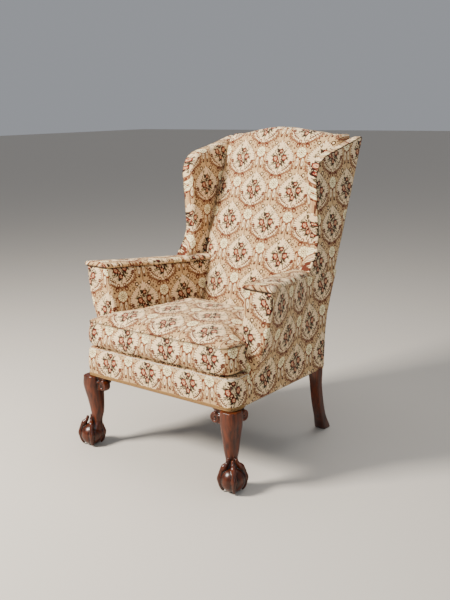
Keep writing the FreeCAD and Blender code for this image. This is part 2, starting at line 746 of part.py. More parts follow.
POST_INNER_TEXT = side_text("cover + post_side") + " - cover - post_side"
REAR_INNER_TEXT = "seat_rear_half - cover - back_post_width"
front_rail_timber = box("front_rail_timber", f"2 * ({POST_INNER_TEXT})", "rail_thick", "rail_height",
                        f"-({POST_INNER_TEXT})", "cover", "rail_bottom")
cut_object("front_rail", front_rail_timber, frame_dowels)
rear_rail_timber = box("rear_rail_timber", f"2 * ({REAR_INNER_TEXT})", "rail_thick", "rail_height",
                       f"-({REAR_INNER_TEXT})", "back_foot_y - cover - rail_thick", "rail_bottom")
cut_object("rear_rail", rear_rail_timber, frame_dowels)

# A side rail narrows with the seat, so it is a wedge whose ends lie on the posts
side_rail_timber = doc.addObject("Part::Wedge", "side_rail_timber")
RAIL_ENDS = {"": "cover + post_side", "2": "back_foot_y - back_low_rake * hem - cover - back_frame"}
for end, end_y in RAIL_ENDS.items():
    side_rail_timber.setExpression(f"X{end}min", bound(side_text(end_y) + " - cover - rail_thick"))
    side_rail_timber.setExpression(f"X{end}max", bound(side_text(end_y) + " - cover"))
    side_rail_timber.setExpression(f"Z{end}min", bound("rail_bottom"))
    side_rail_timber.setExpression(f"Z{end}max", bound("rail_bottom + rail_height"))
side_rail_timber.setExpression("Ymin", bound(RAIL_ENDS[""]))
side_rail_timber.setExpression("Ymax", bound(RAIL_ENDS["2"]))
side_rail_timber.setExpression("Placement.Base.y", bound(FRONT_TEXT))
side_rail_right = cut_object("side_rail_right", side_rail_timber, frame_dowels)
mirrored(side_rail_right, "side_rail_left")

# Back frame

back_post_shape = back_slab(frame_depth, dims.cover, post_inner, post_inner + dims.back_post_width, rail_top,
                            crest_rail_z)
pair("back_post", back_post_shape)
timber_half = post_inner + dims.back_post_width
crest_board = back_slab(frame_depth, dims.cover, -timber_half, timber_half, crest_rail_z, dims.crest_z)
piece("crest_rail", crest_board.common(under_crest(dims.crest_padding)))
tacking_low = dims.border_top + dims.rail_thick / 2
tacking_high = tacking_low + dims.tacking_height
tacking_shape = back_slab(frame_depth, dims.cover, -post_inner, post_inner, tacking_low, tacking_high)
piece("back_tacking_rail", tacking_shape)


def back_web_solids():
    """Upright and level strips of webbing on the front of the back frame."""
    solids = []
    half = dims.web_width / 2
    upright = frame_depth + dims.web_thick
    level = upright + dims.web_thick
    top_z = crest_rail_z + half
    for x in (-dims.back_web_step, 0, dims.back_web_step):
        solids.append(back_slab(upright, frame_depth, x - half, x + half, tacking_low, top_z))
    reach = post_inner + dims.back_post_width / 2
    for step in range(4):
        z = tacking_high + dims.web_width + (crest_rail_z - tacking_high - 2 * dims.web_width) * step / 3
        strip = back_slab(level, upright, -reach, reach, z - half, z + half)
        ends = back_slab(upright, frame_depth, -reach, reach, z - half, z + half)
        ends = ends.cut(block(-post_inner, post_inner, 0, 2 * dims.back_top_y, 0, dims.crest_z))
        solids.append(strip.fuse(ends.Solids))
    return solids


back_webs = back_web_solids()
piece("back_webbing", Part.makeCompound(back_webs))
web_depth = frame_depth + 2 * dims.web_thick
canvas_depth = web_depth + dims.canvas
canvas_high = crest_rail_z + dims.web_width / 2
canvas_reach = frame_rear
canvas_shape = back_slab(canvas_depth, web_depth, -canvas_reach, canvas_reach, tacking_low, canvas_high)
piece("back_canvas", canvas_shape)
frame_zone = back_slab(canvas_depth, 0, -timber_half, timber_half, 0, dims.crest_z)
frame_zone = frame_zone.common(under_crest(dims.crest_padding))
wide = 2 * timber_half
behind_frame = back_slab(frame_depth, -dims.back_top_y, -wide, wide, 0, 2 * dims.crest_z)
behind_back = back_slab(dims.cover, -dims.back_top_y, -wide, wide, 0, 2 * dims.crest_z)

# Arm frame


def stump_section(z):
    front = arm_core_y + dims.cover
    rear = front + dims.arm_stump_depth
    corners = []
    for y, inwards in ((front, dims.arm_stump_thick), (front, 0), (rear, 0), (rear, dims.arm_stump_thick)):
        corners.append(at(arm_outer(y, z) - dims.cover - dims.arm_core_in - inwards, y, z))
    return Part.makePolygon(corners + corners[:1])


arm_rail_low = dims.arm_rail_z - dims.arm_rail_thick
pair("arm_stump", Part.makeLoft([stump_section(rail_top), stump_section(arm_rail_low)], True, True))


def arm_rail_section(y):
    outer_x = arm_outer(y, arm_rail_low) - dims.cover - dims.arm_core_in
    inner_x = arm_frame(y, dims.arm_rail_z)
    return straight((inner_x, arm_rail_low), (outer_x, arm_rail_low), (outer_x, dims.arm_rail_z),
                    (inner_x, dims.arm_rail_z))


arm_rail_shape = loft_back([arm_core_y + dims.cover] + arm_stations[1:], arm_rail_section).cut(behind_frame)
pair("arm_rail", arm_rail_shape)

# Wings

wing_timber = wing_layer(dims.wing_edge, timber_x, wing_outer_x - dims.cover)
wing_hollow = wing_layer(dims.wing_edge + dims.wing_strip, timber_x, wing_outer_x - dims.cover)
wing_ring = wing_timber.cut(wing_hollow).cut(behind_frame)
strip_z = wing_points(dims.wing_edge + dims.wing_strip)[3][1]
pair("wing_post", wing_ring.common(block(0, 2 * timber_x, 0, 2 * dims.back_top_y, 0, strip_z)))
pair("wing_top_rail", wing_ring.common(block(0, 2 * timber_x, 0, 2 * dims.back_top_y, strip_z, dims.crest_z)))
wing_skin = wing_form(0, wing_inner_x, wing_outer_x - dims.cover, dims.wing_roll)
wing_core_x = wing_inner_x + dims.cover
wing_core = wing_form(dims.cover, wing_core_x, wing_outer_x - dims.cover, dims.wing_roll - dims.cover)
pair("inside_wing_cover", wing_skin.cut(wing_core).cut(frame_zone))
wing_stuffing_shape = wing_core.cut(wing_timber).cut(frame_zone)
pair("wing_stuffing", wing_stuffing_shape.cut(Part.makeCompound(back_webs)))
wing_panel = wing_layer(0, wing_outer_x - dims.cover, wing_outer_x)

# Arm upholstery

arm_wing_cut = wing_layer(0, wing_inner_x, wing_outer_x)
pair("arm_front_cover", loft_back([dims.arm_front_y, arm_core_y], arm_face_section))


def trimmed(shape):
    """An arm's layer without the room of the wing and of the back frame."""
    return shape.cut(arm_wing_cut).cut(frame_zone).cut(behind_frame)


pair("inside_arm_cover", trimmed(loft_back(arm_stations, inside_arm_section)))
pair("arm_stuffing", trimmed(loft_back(arm_stations, arm_stuffing_section)))
arm_pad_shape = loft_back([dims.arm_front_y - dims.cover] + arm_stations[1:], arm_pad_section)
pair("arm_pad", trimmed(arm_pad_shape))
outside_stations = [arm_core_y, dims.arm_join_y, dims.back_foot_y, arm_rear_y]
outside_shape = loft_back([dims.arm_front_y] + outside_stations[2:], outside_rail_section)
outside_shape = outside_shape.fuse(loft_back(outside_stations, outside_arm_section))
outside_shape = outside_shape.fuse(wing_panel).cut(behind_back).removeSplitter()
pair("outside_side_cover", outside_shape)

arm_zone = loft_back([dims.arm_front_y] + arm_stations[1:], arm_zone_section)
arm_zones = [arm_zone, arm_zone.mirror(FreeCAD.Vector(0, 0, 0), FreeCAD.Vector(1, 0, 0))]


def crowned_back(inwards, roll):
    """The back's padded block: crowned to the front, serpentine on top, rolled over where they meet."""
    low = rail_top + dims.canvas
    bend = [bend_start_z + (bend_end_z - bend_start_z) * step / 4 for step in range(5)]
    high = dims.crest_z + beyond
    half = back_pad_half
    wires = []
    for z in [low] + [z for z in bend if z > low] + [high]:
        front_y = back_y(z) - dims.back_pad + inwards
        side_y = front_y + dims.back_crown
        rear_y = back_y(z) - dims.cover
        left, right = at(-half, side_y, z), at(half, side_y, z)
        wires.append(Part.Wire([
            Part.Arc(left, at(0, front_y, z), right).toShape(),
            Part.LineSegment(right, at(half, rear_y, z)).toShape(),
            Part.LineSegment(at(half, rear_y, z), at(-half, rear_y, z)).toShape(),
            Part.LineSegment(at(-half, rear_y, z), left).toShape()]))
    solid = Part.makeLoft(wires, True, True).common(under_crest(inwards))
    middle_y = FRONT + back_y(dims.crest_z) - dims.back_pad / 2
    rims = []
    for rim in solid.Edges:
        low_z = min(vertex.Z for vertex in rim.Vertexes)
        ends = rim.Vertexes[0].X - rim.Vertexes[-1].X
        if low_z > crest_rail_z and abs(ends) > 1 and rim.CenterOfMass.y < middle_y:
            rims.append(rim)
    return solid.makeFillet(roll, rims)


back_skin = crowned_back(0, dims.back_roll)
back_core = crowned_back(dims.cover, dims.back_roll - dims.cover)
piece("inside_back_cover", back_skin.cut(back_core).cut(arm_zones))
piece("back_stuffing", back_core.cut(frame_zone).cut(arm_zones))
outside_back = back_slab(dims.cover, 0, -dims.seat_rear_half, dims.seat_rear_half, hem_z, dims.crest_z)
piece("outside_back_cover", outside_back.common(under_crest(dims.crest_edge)))


# Seat


def front_band(outwards, inwards, low, high, reach):
    """A band round the seat's front that ends a distance back on each side."""
    half = dims.seat_front_half
    rear_x = side_x(reach)
    round_corner = dims.corner_round
    points = [(-rear_x - outwards, reach), (-half - outwards, -outwards), (half + outwards, -outwards),
              (rear_x + outwards, reach), (rear_x - inwards, reach), (half - inwards, inwards),
              (-half + inwards, inwards), (-rear_x + inwards, reach)]
    radii = [0, round_corner + outwards, round_corner + outwards, 0, 0, round_corner - inwards,
             round_corner - inwards, 0]
    return prism(outline(points, radii, in_plan(low)), FreeCAD.Vector(0, 0, high - low))


piece("front_border_cover", front_band(0, dims.cover, hem_z, dims.border_top, dims.arm_front_y))
piece("front_braid", front_band(dims.braid_thick, 0, hem_z, hem_z + dims.braid_height, dims.braid_return))


def deck_layer(low, high, rear_y):
    """A layer of the seat between the arms, wider before them."""
    inwards = dims.cover
    half = dims.seat_front_half
    right = [(half - inwards, inwards), (side_x(dims.arm_front_y) - inwards, dims.arm_front_y),
             (arm_inner(dims.arm_front_y, rail_top), dims.arm_front_y), (arm_inner(rear_y, rail_top), rear_y)]
    points = right + [(-x, y) for x, y in right[::-1]]
    radii = [dims.corner_round - inwards, 0, 0, 0, 0, 0, 0, dims.corner_round - inwards]
    return prism(outline(points, radii, in_plan(low)), FreeCAD.Vector(0, 0, high - low))


canvas_top = rail_top + dims.canvas
stuffing_top = dims.border_top - dims.cover
seat_rear_y = rear_post_y
low_back = block(-back_pad_half, back_pad_half, 0, 2 * dims.back_top_y, 0, tacking_low)
back_zone = back_skin.common(low_back)
piece("spring_canvas", deck_layer(rail_top, canvas_top, seat_rear_y))
piece("seat_stuffing", deck_layer(canvas_top, stuffing_top, seat_rear_y).cut(back_zone))
piece("platform_cover", deck_layer(stuffing_top, dims.border_top, seat_rear_y).cut(back_zone))


def spring_shape(x, y):
    """A coil spring from the webbing to the canvas, its wire's section a hexagon."""
    wire_radius = dims.spring_wire / 2
    low = dims.rail_bottom + wire_radius
    rise = rail_top - dims.rail_bottom - dims.spring_wire
    path = Part.makeHelix(dims.spring_pitch, rise, dims.spring_radius)
    turns = [math.radians(angle) for angle in range(0, 360, 60)]
    rim = [FreeCAD.Vector(dims.spring_radius + wire_radius * math.cos(turn), 0, wire_radius * math.sin(turn))
           for turn in turns]
    coil = Part.Wire(path).makePipeShell([Part.makePolygon(rim + rim[:1])], True, True)
    coil.translate(at(x, y, low))
    return coil


spring_places = [(column * dims.spring_step_x, dims.spring_middle_y + line * dims.spring_step_y)
                 for line in (-1, 0, 1) for column in (-1, 0, 1)]
piece("seat_springs", Part.makeCompound([spring_shape(x, y) for x, y in spring_places]))


def seat_web_solids():
    """Strips of webbing under the rails, one each way under every row of springs."""
    solids = []
    half = dims.web_width / 2
    upper = dims.rail_bottom - dims.web_thick
    lower = upper - dims.web_thick
    inside = dims.web_margin
    for column in (-1, 0, 1):
        x = column * dims.spring_step_x
        solids.append(block(x - half, x + half, inside, dims.back_foot_y - inside, upper, dims.rail_bottom))
    for line in (-1, 0, 1):
        y = dims.spring_middle_y + line * dims.spring_step_y
        reach = side_x(y + half) - inside
        solids.append(block(-reach, reach, y - half, y + half, lower, upper))
    return solids


piece("seat_webbing", Part.makeCompound(seat_web_solids()))

front_half_text = side_text("cover") + " - cover"
rear_half_text = side_text("back_foot_y - cover") + " - cover"
front_half = side_x(dims.cover) - dims.cover
rear_half = side_x(dims.back_foot_y - dims.cover) - dims.cover
cloth_rear_y = dims.back_foot_y - dims.cover
cloth_corners = [
    ((f"-({front_half_text})", "cover"), (-front_half, dims.cover)),
    ((front_half_text, "cover"), (front_half, dims.cover)),
    ((rear_half_text, "back_foot_y - cover"), (rear_half, cloth_rear_y)),
    ((f"-({rear_half_text})", "back_foot_y - cover"), (-rear_half, cloth_rear_y)),
]
cloth = pad("bottom_cloth_sheet", cloth_corners, "rail_bottom - 2 * web_thick - bottom_cloth", "bottom_cloth")
legs = doc.addObject("Part::Compound", "legs")
legs.Links = [front_leg_left, front_leg_right, rear_leg_left, rear_leg_right, *knee_ears]
cut_object("bottom_cloth", cloth, legs)

# Seat cushion


def cushion_wire(z, edge):
    """Outline of the cushion at a height, drawn in towards its middle by a distance at its sides."""
    gap = dims.cushion_gap
    base_z = dims.border_top
    front_y = -dims.cushion_overhang
    rear_y = back_y(base_z) - dims.back_pad - gap
    middle_y = (front_y + rear_y) / 2
    share = 1 - edge / cushion_front_half
    right = [(cushion_front_half, front_y), (arm_inner(dims.arm_front_y, base_z) - gap, dims.arm_front_y),
             (arm_inner(rear_y, base_z) - gap, rear_y)]
    points = [(-x, y) for x, y in right[:1]] + right + [(-x, y) for x, y in right[:0:-1]]
    drawn = [(x * share, middle_y + (y - middle_y) * share) for x, y in points]
    front = dims.cushion_corner * share
    radii = [front, front, front, front / 2, front / 2, front]
    return outline(drawn, radii, in_plan(z))


def cushion_form(inwards):
    """The cushion: flat below, sides drawn in between two seams, crowned on top."""
    low = dims.border_top + dims.cushion_gap
    seam = dims.cushion_seam_z
    crown = dims.cushion_top_z - inwards - seam
    levels = [(low + inwards, dims.cushion_edge), (low + dims.cushion_edge, 0),
              ((low + seam) / 2, dims.cushion_hollow), (seam, 0)]
    for turn in (math.pi / 8, math.pi / 4, math.pi * 3 / 8, math.pi / 2):
        levels.append((seam + crown * math.sin(turn), dims.cushion_crown * (1 - math.cos(turn))))
    wires = [cushion_wire(z, edge + inwards) for z, edge in levels]
    return Part.makeLoft(wires, True, True)


cushion_skin = cushion_form(0)
cushion_core = cushion_form(dims.cover)
piece("seat_cushion_cover", cushion_skin.cut(cushion_core))
piece("seat_cushion_filling", cushion_core)

doc.recompute()

faults = [item.Name for item in doc.Objects if {"Invalid", "Error"} & set(item.State)]
for item in nodes:
    shape = item.Shape
    if shape.isNull() or not shape.isValid() or not shape.Solids:
        faults.append(item.Label)
if faults:
    raise RuntimeError("not made: " + ", ".join(faults))

os.makedirs("parts", exist_ok=True)
for item in nodes:
    item.Shape.exportStep(f"parts/{item.Label}.step")
print(len(nodes), "pieces")
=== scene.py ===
import json
from math import copysign, cos, exp, hypot, pi, radians, sin, sqrt, tan

import bmesh
import bpy
from mathutils import Matrix, Vector, noise


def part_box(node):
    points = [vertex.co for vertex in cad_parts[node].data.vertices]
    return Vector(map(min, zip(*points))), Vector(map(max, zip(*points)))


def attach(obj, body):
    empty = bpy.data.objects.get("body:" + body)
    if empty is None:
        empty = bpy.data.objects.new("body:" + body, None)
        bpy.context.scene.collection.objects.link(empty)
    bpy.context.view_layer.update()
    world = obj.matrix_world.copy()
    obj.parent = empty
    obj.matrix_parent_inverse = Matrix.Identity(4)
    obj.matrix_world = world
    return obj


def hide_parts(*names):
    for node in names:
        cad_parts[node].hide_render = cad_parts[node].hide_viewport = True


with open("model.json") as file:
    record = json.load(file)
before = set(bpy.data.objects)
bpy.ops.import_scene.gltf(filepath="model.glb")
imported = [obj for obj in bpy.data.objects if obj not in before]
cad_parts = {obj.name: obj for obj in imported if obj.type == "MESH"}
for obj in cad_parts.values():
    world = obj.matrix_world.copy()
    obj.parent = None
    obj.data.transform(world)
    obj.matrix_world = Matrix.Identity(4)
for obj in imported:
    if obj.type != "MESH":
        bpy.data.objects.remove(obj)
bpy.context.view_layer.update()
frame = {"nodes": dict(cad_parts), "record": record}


def srgb(red, green, blue):
    """A colour given on the 0 to 255 scale, as Blender's linear RGBA."""
    def linear(part):
        part /= 255
        return part / 12.92 if part <= 0.04045 else ((part + 0.055) / 1.055) ** 2.4
    return (linear(red), linear(green), linear(blue), 1)


# Shader nodes and arithmetic


def feed(tree, entry, item):
    """Links a signal or a socket to a node's input, or sets the input to a plain value."""
    item = getattr(item, "socket", item)
    if isinstance(item, bpy.types.NodeSocket):
        tree.links.new(item, entry)
    else:
        entry.default_value = item


def add_node(tree, kind, inputs, **settings):
    """A shader node with its settings made and its inputs, by name or number, set or linked."""
    node = tree.nodes.new("ShaderNode" + kind)
    for label, value in settings.items():
        setattr(node, label, value)
    for label, item in inputs.items():
        feed(tree, node.inputs[label], item)
    return node


class Signal:
    """A number that changes over a surface. Arithmetic with it adds Math nodes."""

    def __init__(self, tree, socket):
        self.tree = tree
        self.socket = socket

    def __rsub__(self, other):
        return calc("SUBTRACT", other, self)


def calc(operation, *items):
    """A Math node whose inputs are signals or plain numbers."""
    tree = next(item.tree for item in items if isinstance(item, Signal))
    node = add_node(tree, "Math", dict(enumerate(items)), operation=operation)
    return Signal(tree, node.outputs[0])


def adds_node(operation):
    return lambda *items: calc(operation, *items)


for sign, operation in (("add", "ADD"), ("radd", "ADD"), ("sub", "SUBTRACT"), ("mul", "MULTIPLY"),
                        ("and", "MULTIPLY"), ("truediv", "DIVIDE"), ("lt", "LESS_THAN"),
                        ("gt", "GREATER_THAN"), ("abs", "ABSOLUTE")):
    setattr(Signal, f"__{sign}__", adds_node(operation))


def sine(signal):
    return calc("SINE", signal)


def mixed(share, first, second):
    """first where share is 0, second where it is 1."""
    return calc("MULTIPLY_ADD", calc("SUBTRACT", second, first), share, first)


def length(u, v):
    return calc("SQRT", u * u + v * v)


def between(signal, low, high):
    return (signal > low) & (signal < high)


def signals(tree, vector):
    """A vector's x, y and z as signals."""
    parts = add_node(tree, "SeparateXYZ", {0: vector})
    return [Signal(tree, part) for part in parts.outputs]


def in_plane(tree, u, v):
    return add_node(tree, "CombineXYZ", {0: u, 1: v}).outputs[0]


def paint(tree, colour, mask, added):
    """Lays a colour over another where a mask is 1."""
    return add_node(tree, "Mix", {0: mask, 6: colour, 7: added}, data_type="RGBA").outputs[2]


def new_tree(name):
    """A new material and its node tree."""
    material = bpy.data.materials.new(name)
    material.use_nodes = True
    return material, material.node_tree


def finish_shader(tree, colour, height, strength, distance, **inputs):
    """Gives the main shader its colour, a bump from a height, and other inputs, with _ for a space."""
    bump = add_node(tree, "Bump", {"Height": height, "Strength": strength, "Distance": distance})
    shader = tree.nodes["Principled BSDF"]
    feed(tree, shader.inputs["Base Color"], colour)
    feed(tree, shader.inputs["Normal"], bump.outputs[0])
    for label, item in inputs.items():
        feed(tree, shader.inputs[label.replace("_", " ")], item)


# Woven tapestry, drawn in millimetres round the middle of each medallion

REPEAT_U = 179
REPEAT_V = 243
THREAD = 1.15
FRAME_V = -55


def wrapped(signal, span):
    return calc("WRAP", signal, span / 2, -span / 2)


def nearest_motif(u, v, centre_v):
    """Distances from the nearest motif of the half-drop repeat, each owning a diamond round a centre."""
    half_u, half_v = REPEAT_U / 2, REPEAT_V / 2
    first_u, first_v = wrapped(u, REPEAT_U), wrapped(v - centre_v, REPEAT_V)
    second_u, second_v = wrapped(u + half_u, REPEAT_U), wrapped(v - centre_v + half_v, REPEAT_V)
    other = (abs(first_u) / half_u + abs(first_v) / half_v) > 1
    return mixed(other, first_u, second_u), mixed(other, first_v, second_v) + centre_v


def tapestry_group():
    """Node group of the woven pattern: its colour and its height from a place on the cloth in metres."""
    tree = bpy.data.node_groups.new("ogee_tapestry", "ShaderNodeTree")
    tree.interface.new_socket("Vector", in_out="INPUT", socket_type="NodeSocketVector")
    tree.interface.new_socket("Color", in_out="OUTPUT", socket_type="NodeSocketColor")
    tree.interface.new_socket("Height", in_out="OUTPUT", socket_type="NodeSocketFloat")
    given, result = tree.nodes.new("NodeGroupInput"), tree.nodes.new("NodeGroupOutput")
    metres_u, metres_v, _ = signals(tree, given.outputs[0])
    raw_u, raw_v = metres_u * 1000, metres_v * 1000
    thread_u, thread_v = calc("FLOOR", raw_u / THREAD), calc("FLOOR", raw_v / THREAD)
    place = thread_u * THREAD, thread_v * THREAD
    u, v = nearest_motif(*place, 0)
    fu, fv = nearest_motif(*place, FRAME_V)
    side = abs(u)
    frame_side = abs(fu)
    colour = srgb(222, 198, 164)

    def lay(mask, *tone):
        nonlocal colour
        colour = paint(tree, colour, mask, srgb(*tone))

    def spots(across, up, marks):
        """Rings of (x, y, inner, outer, tone) on a pair of distances; discs where inner is 0."""
        for x, y, inner, outer, tone in marks:
            reach = length(across - x, up - y)
            lay(reach < outer if inner == 0 else between(reach, inner, outer), *tone)

    # Small tan curls that fill the ground between the medallions
    cells = add_node(tree, "TexVoronoi", {"Vector": in_plane(tree, frame_side / 11, fv / 11), "Scale": 1},
                     voronoi_dimensions="2D")
    curl = Signal(tree, cells.outputs["Distance"])
    lay(between(curl, 0.36, 0.44), 204, 180, 150)
    lay(curl < 0.1, 160, 122, 100)

    # Medallion field: pointed above, round and scalloped below
    high = calc("POWER", calc("COSINE", calc("MINIMUM", v / 72, 1) * (pi / 2)), 1.15) * 63
    low = calc("SQRT", calc("MAXIMUM", 1 - v * v / (62 * 62), 0)) * 63
    half = mixed(v > 0, low, high)
    turn = calc("ARCTAN2", v, u)
    edge = half - side - abs(sine(turn * 10)) * 3.5
    lay((edge > -5.0) & (sine(turn * 30) > -0.35), 126, 88, 70)
    lay(edge > -1.8, 208, 178, 146)
    lay(edge > 0, 243, 224, 196)
    lay((sine(turn * 44) > 0.1) & between(edge, 1, 9), 248, 236, 212)
    lay((sine(turn * 44) < -0.5) & between(edge, 0, 8), 180, 148, 122)

    # C-scrolls round the medallion's lower half, with beads along them
    below = between(fv, -76, -24)
    reach = length(frame_side / 64, fv / 60)
    around = calc("ARCTAN2", fv, frame_side)
    arc = 1.1 + sine(around * 9 + 1.2) * 0.035
    lay((abs(reach - arc) < 0.055) & below, 116, 66, 54)
    lay((abs(reach - arc) < 0.018) & below, 196, 156, 128)
    lay((sine(around * 44) > 0.35) & between(reach, 1.17, 1.27) & below, 146, 98, 78)
    lay((abs(reach - 0.86) < 0.032) & between(fv, -50, -10) & (frame_side > 20), 140, 92, 74)
    teeth = between(reach, 0.72, 0.83) & between(fv, -48, -12) & (sine(around * 40) > 0.3)
    lay(teeth & (frame_side > 18), 124, 98, 80)
    spots(frame_side, fv, (
        (63, -62, 0, 8, (78, 42, 36)), (63, -62, 0, 4.2, (244, 222, 192)),
        (48, -75, 0, 5, (104, 60, 48)), (48, -75, 0, 2.2, (238, 214, 182)),
        (78, -36, 0, 5, (84, 48, 42)), (20, -72, 4.5, 8.5, (138, 84, 66)),
        (33, -82, 0, 3.4, (112, 64, 52)), (52, -16, 3.2, 7, (140, 92, 74)),
        (13, -57, 3.4, 7, (148, 98, 78)), (80, -78, 4, 8, (160, 120, 96)),
        (66, 34, 3, 6.4, (170, 132, 106)), (44, 62, 3, 6.4, (170, 132, 106))))

    # Rosette, the fan under it and the two ribbons that hang from it
    petal_turn = calc("ARCTAN2", fv + 98, fu)
    petal_reach = length(fu, fv + 98)
    petals = 17.5 - abs(sine(petal_turn * 5)) * -2.6 - petal_reach
    fan = 25 + abs(sine(petal_turn * 4.5)) * 4 - petal_reach
    lay((fan > 0) & (fv < -98), 132, 70, 54)
    lay((fan > 3.6) & (fv < -100) & (sine(petal_turn * 20) > -0.3), 220, 176, 142)
    lay(petals > -1.8, 168, 124, 90)
    lay(petals > 0, 250, 242, 212)
    clefts = abs(sine(petal_turn * 5)) < 0.34
    lay((petals > 1.5) & between(petal_reach, 9, 19) & clefts, 188, 152, 112)
    lay(between(petal_reach, 6.2, 8.2), 176, 138, 92)
    lay(petal_reach < 3, 160, 104, 74)
    ribbon = length((frame_side - 10.5) / 7.2, (fv + 134) / 21)
    lay(ribbon < 1, 142, 96, 76)
    lay(ribbon < 0.76, 240, 226, 200)
    lay((ribbon < 0.3) & (fv < -130), 206, 168, 132)
    ribbon = length((frame_side - 24) / 5, (fv + 118) / 19)
    lay(ribbon < 1, 158, 104, 80)
    lay(ribbon < 0.7, 226, 204, 172)
    spots(frame_side, fv, ((10.5, -156, 0, 4.6, (84, 48, 42)), (10.5, -155, 0, 2, (200, 150, 120))))

    # Bouquet: sprigs behind five roses
    warp = add_node(tree, "TexNoise", {"Vector": in_plane(tree, u, v), "Scale": 0.11}, noise_dimensions="2D")
    wander = Signal(tree, warp.outputs[0]) - 0.5
    stretch = length(u * 1.12, v * 0.88)
    tips = 34 + sine(turn * 7 + 0.6) * 6 + wander * 30
    lay((sine(turn * 13 + wander * 9 + 2) > 0.62) & (stretch < tips + 9) & (stretch > 10), 128, 118, 100)
    lay((sine(turn * 17 + wander * 7) > 0.0) & (stretch < tips) & (stretch > 8), 112, 102, 86)
    lay((sine(turn * 11 + wander * 14) > 0.35) & (stretch < tips - 6), 92, 72, 60)
    for x, y, size, flatten in ((-17, -2, 12, 0.95), (-5, -11, 7, 1), (21, 2, 11, 0.8), (3, 27, 8.5, 1),
                                (1, -26, 9.5, 1)):
        reach = length(u - x, (v - y) * flatten)
        bend = calc("ARCTAN2", v - y, u - x)
        rim = size + sine(bend * 5 + x) * 0.9
        swirl = sine(bend * 2 + reach * (9 / size) + y)
        lay(reach < rim, 96, 38, 32)
        lay(reach < rim - 2.6, 160, 84, 68)
        lay((reach < rim - 3.4) & (swirl > 0.0), 214, 172, 144)
        lay((reach < size * 0.42) & (swirl < 0.3), 232, 206, 178)
        lay(reach < size * 0.16, 104, 46, 38)

    # Threads: each one a little lighter or darker, proud picks between the warp ends
    speck = add_node(tree, "TexWhiteNoise", {0: in_plane(tree, thread_u, thread_v)}, noise_dimensions="2D")
    grain = Signal(tree, speck.outputs[0])
    pick = sine(raw_v * (pi / THREAD))
    value = calc("MULTIPLY_ADD", grain, 0.16, 0.9)
    shade = add_node(tree, "HueSaturation", {"Value": value, "Color": colour})
    feed(tree, result.inputs["Color"], shade.outputs[0])
    weave = sine(raw_u * (pi / THREAD)) * pick
    feed(tree, result.inputs["Height"], abs(pick) * 0.6 + abs(weave) * 0.3 + grain * 0.3)
    return tree


def tapestry_material():
    """The woven cloth, a little faded, with painted shade along its seams and in its crevices."""
    material, tree = new_tree("tapestry")
    cloth = add_node(tree, "UVMap", {}, uv_map="UVMap")
    weave = add_node(tree, "Group", {}, node_tree=tapestry_group())
    feed(tree, weave.inputs[0], cloth.outputs[0])
    fade = add_node(tree, "Gamma", {0: weave.outputs["Color"], "Gamma": 1.6})
    tone = add_node(tree, "Mix", {0: 1, 6: fade.outputs[0], 7: (1.1, 1.08, 1.00, 1)},
                    data_type="RGBA", blend_type="MULTIPLY")
    # Painted shade: where the seam attribute is high, the cloth is darkened towards a dark brown for the
    # shade along seams and in crevices.
    seam = add_node(tree, "Attribute", {}, attribute_name="seam")
    depth = calc("POWER", Signal(tree, seam.outputs["Fac"]), 3) * 0.86
    colour = paint(tree, tone.outputs[2], depth, srgb(42, 26, 18))
    finish_shader(tree, colour, weave.outputs["Height"], 0.65, 0.0008, Roughness=0.86, Sheen_Weight=0.06,
                  Sheen_Roughness=0.5, Specular_IOR_Level=0.12)
    return material


tapestry = tapestry_material()

# Sizes in metres. Distances back are from the face of the front rail's cover, as in the drawing of the frame.

FRONT = -0.386195
SEAT_FRONT = 0.33
SEAT_REAR = 0.306
RAIL_TOP = 0.345
HEM = 0.262
BORDER_TOP = 0.366
BACK_FOOT = 0.553
BACK_TOP = 0.808
BACK_RAKE = 0.385
CREST = 1.103
CREST_EDGE = 1.089
CREST_DIP = 0.0265
CREST_BOW = 0.24
BACK_PAD = 0.105
BACK_HALF = 0.2545
BACK_CROWN = 0.03
ARM_FRONT = 0.098
ARM_JOIN = 0.45
ARM_FLARE = 0.088
SEAM_FRONT = 0.63
SEAM_REAR = 0.609
COVER = 0.0026


def at(x, y, z):
    """A point from its distance sideways, back from the front rail's face, and up."""
    return Vector((x, FRONT + y, z))


def side_x(y):
    return SEAT_FRONT - (SEAT_FRONT - SEAT_REAR) * min(y, BACK_FOOT) / BACK_FOOT


def back_y(z):
    """Outside back at a height: a low and a high slope with a bend between them."""
    low = BACK_FOOT + 0.06 * (z - 0.265)
    high = BACK_TOP + BACK_RAKE * (z - CREST_EDGE)
    return low + 0.5 * (high - low + hypot(high - low, 0.0145))


def crest_z(x):
    """Serpentine crest line."""
    x = abs(x)
    if x < CREST_BOW:
        return CREST - CREST_DIP * (1 - cos(pi * x / CREST_BOW)) / 2
    return CREST - CREST_DIP - 0.005 * (x - CREST_BOW) / 0.066


def seam_z(y):
    share = min(1, (y - ARM_FRONT) / (ARM_JOIN - ARM_FRONT))
    return SEAM_FRONT + (SEAM_REAR - SEAM_FRONT) * share


def arm_outer(y, z):
    share = max(0, (ARM_JOIN - y) / (ARM_JOIN - ARM_FRONT))
    rise = max(0, (z - RAIL_TOP) / (seam_z(y) - RAIL_TOP))
    return side_x(y) + share * ARM_FLARE * rise * (2 - rise)


def arm_inner(y, z):
    share = (y - ARM_FRONT) / (0.5 - ARM_FRONT)
    return 0.284 - 0.086 * share + 0.021 * (z - RAIL_TOP) / (seam_z(y) - RAIL_TOP)


def bar(value, low, high):
    """Share of the way between two limits, held at 0 and 1."""
    return min(1, max(0, (value - low) / (high - low)))


def steps(count):
    """Shares from 0 to 1 in even steps."""
    return [number / count for number in range(count + 1)]


def ease(share):
    return share * share * (3 - 2 * share)


def fall(share):
    """How far a rounded edge falls away: 1 at the edge itself and 0 a radius in from it."""
    return 1 - sqrt(max(0, 1 - (1 - share) ** 2))


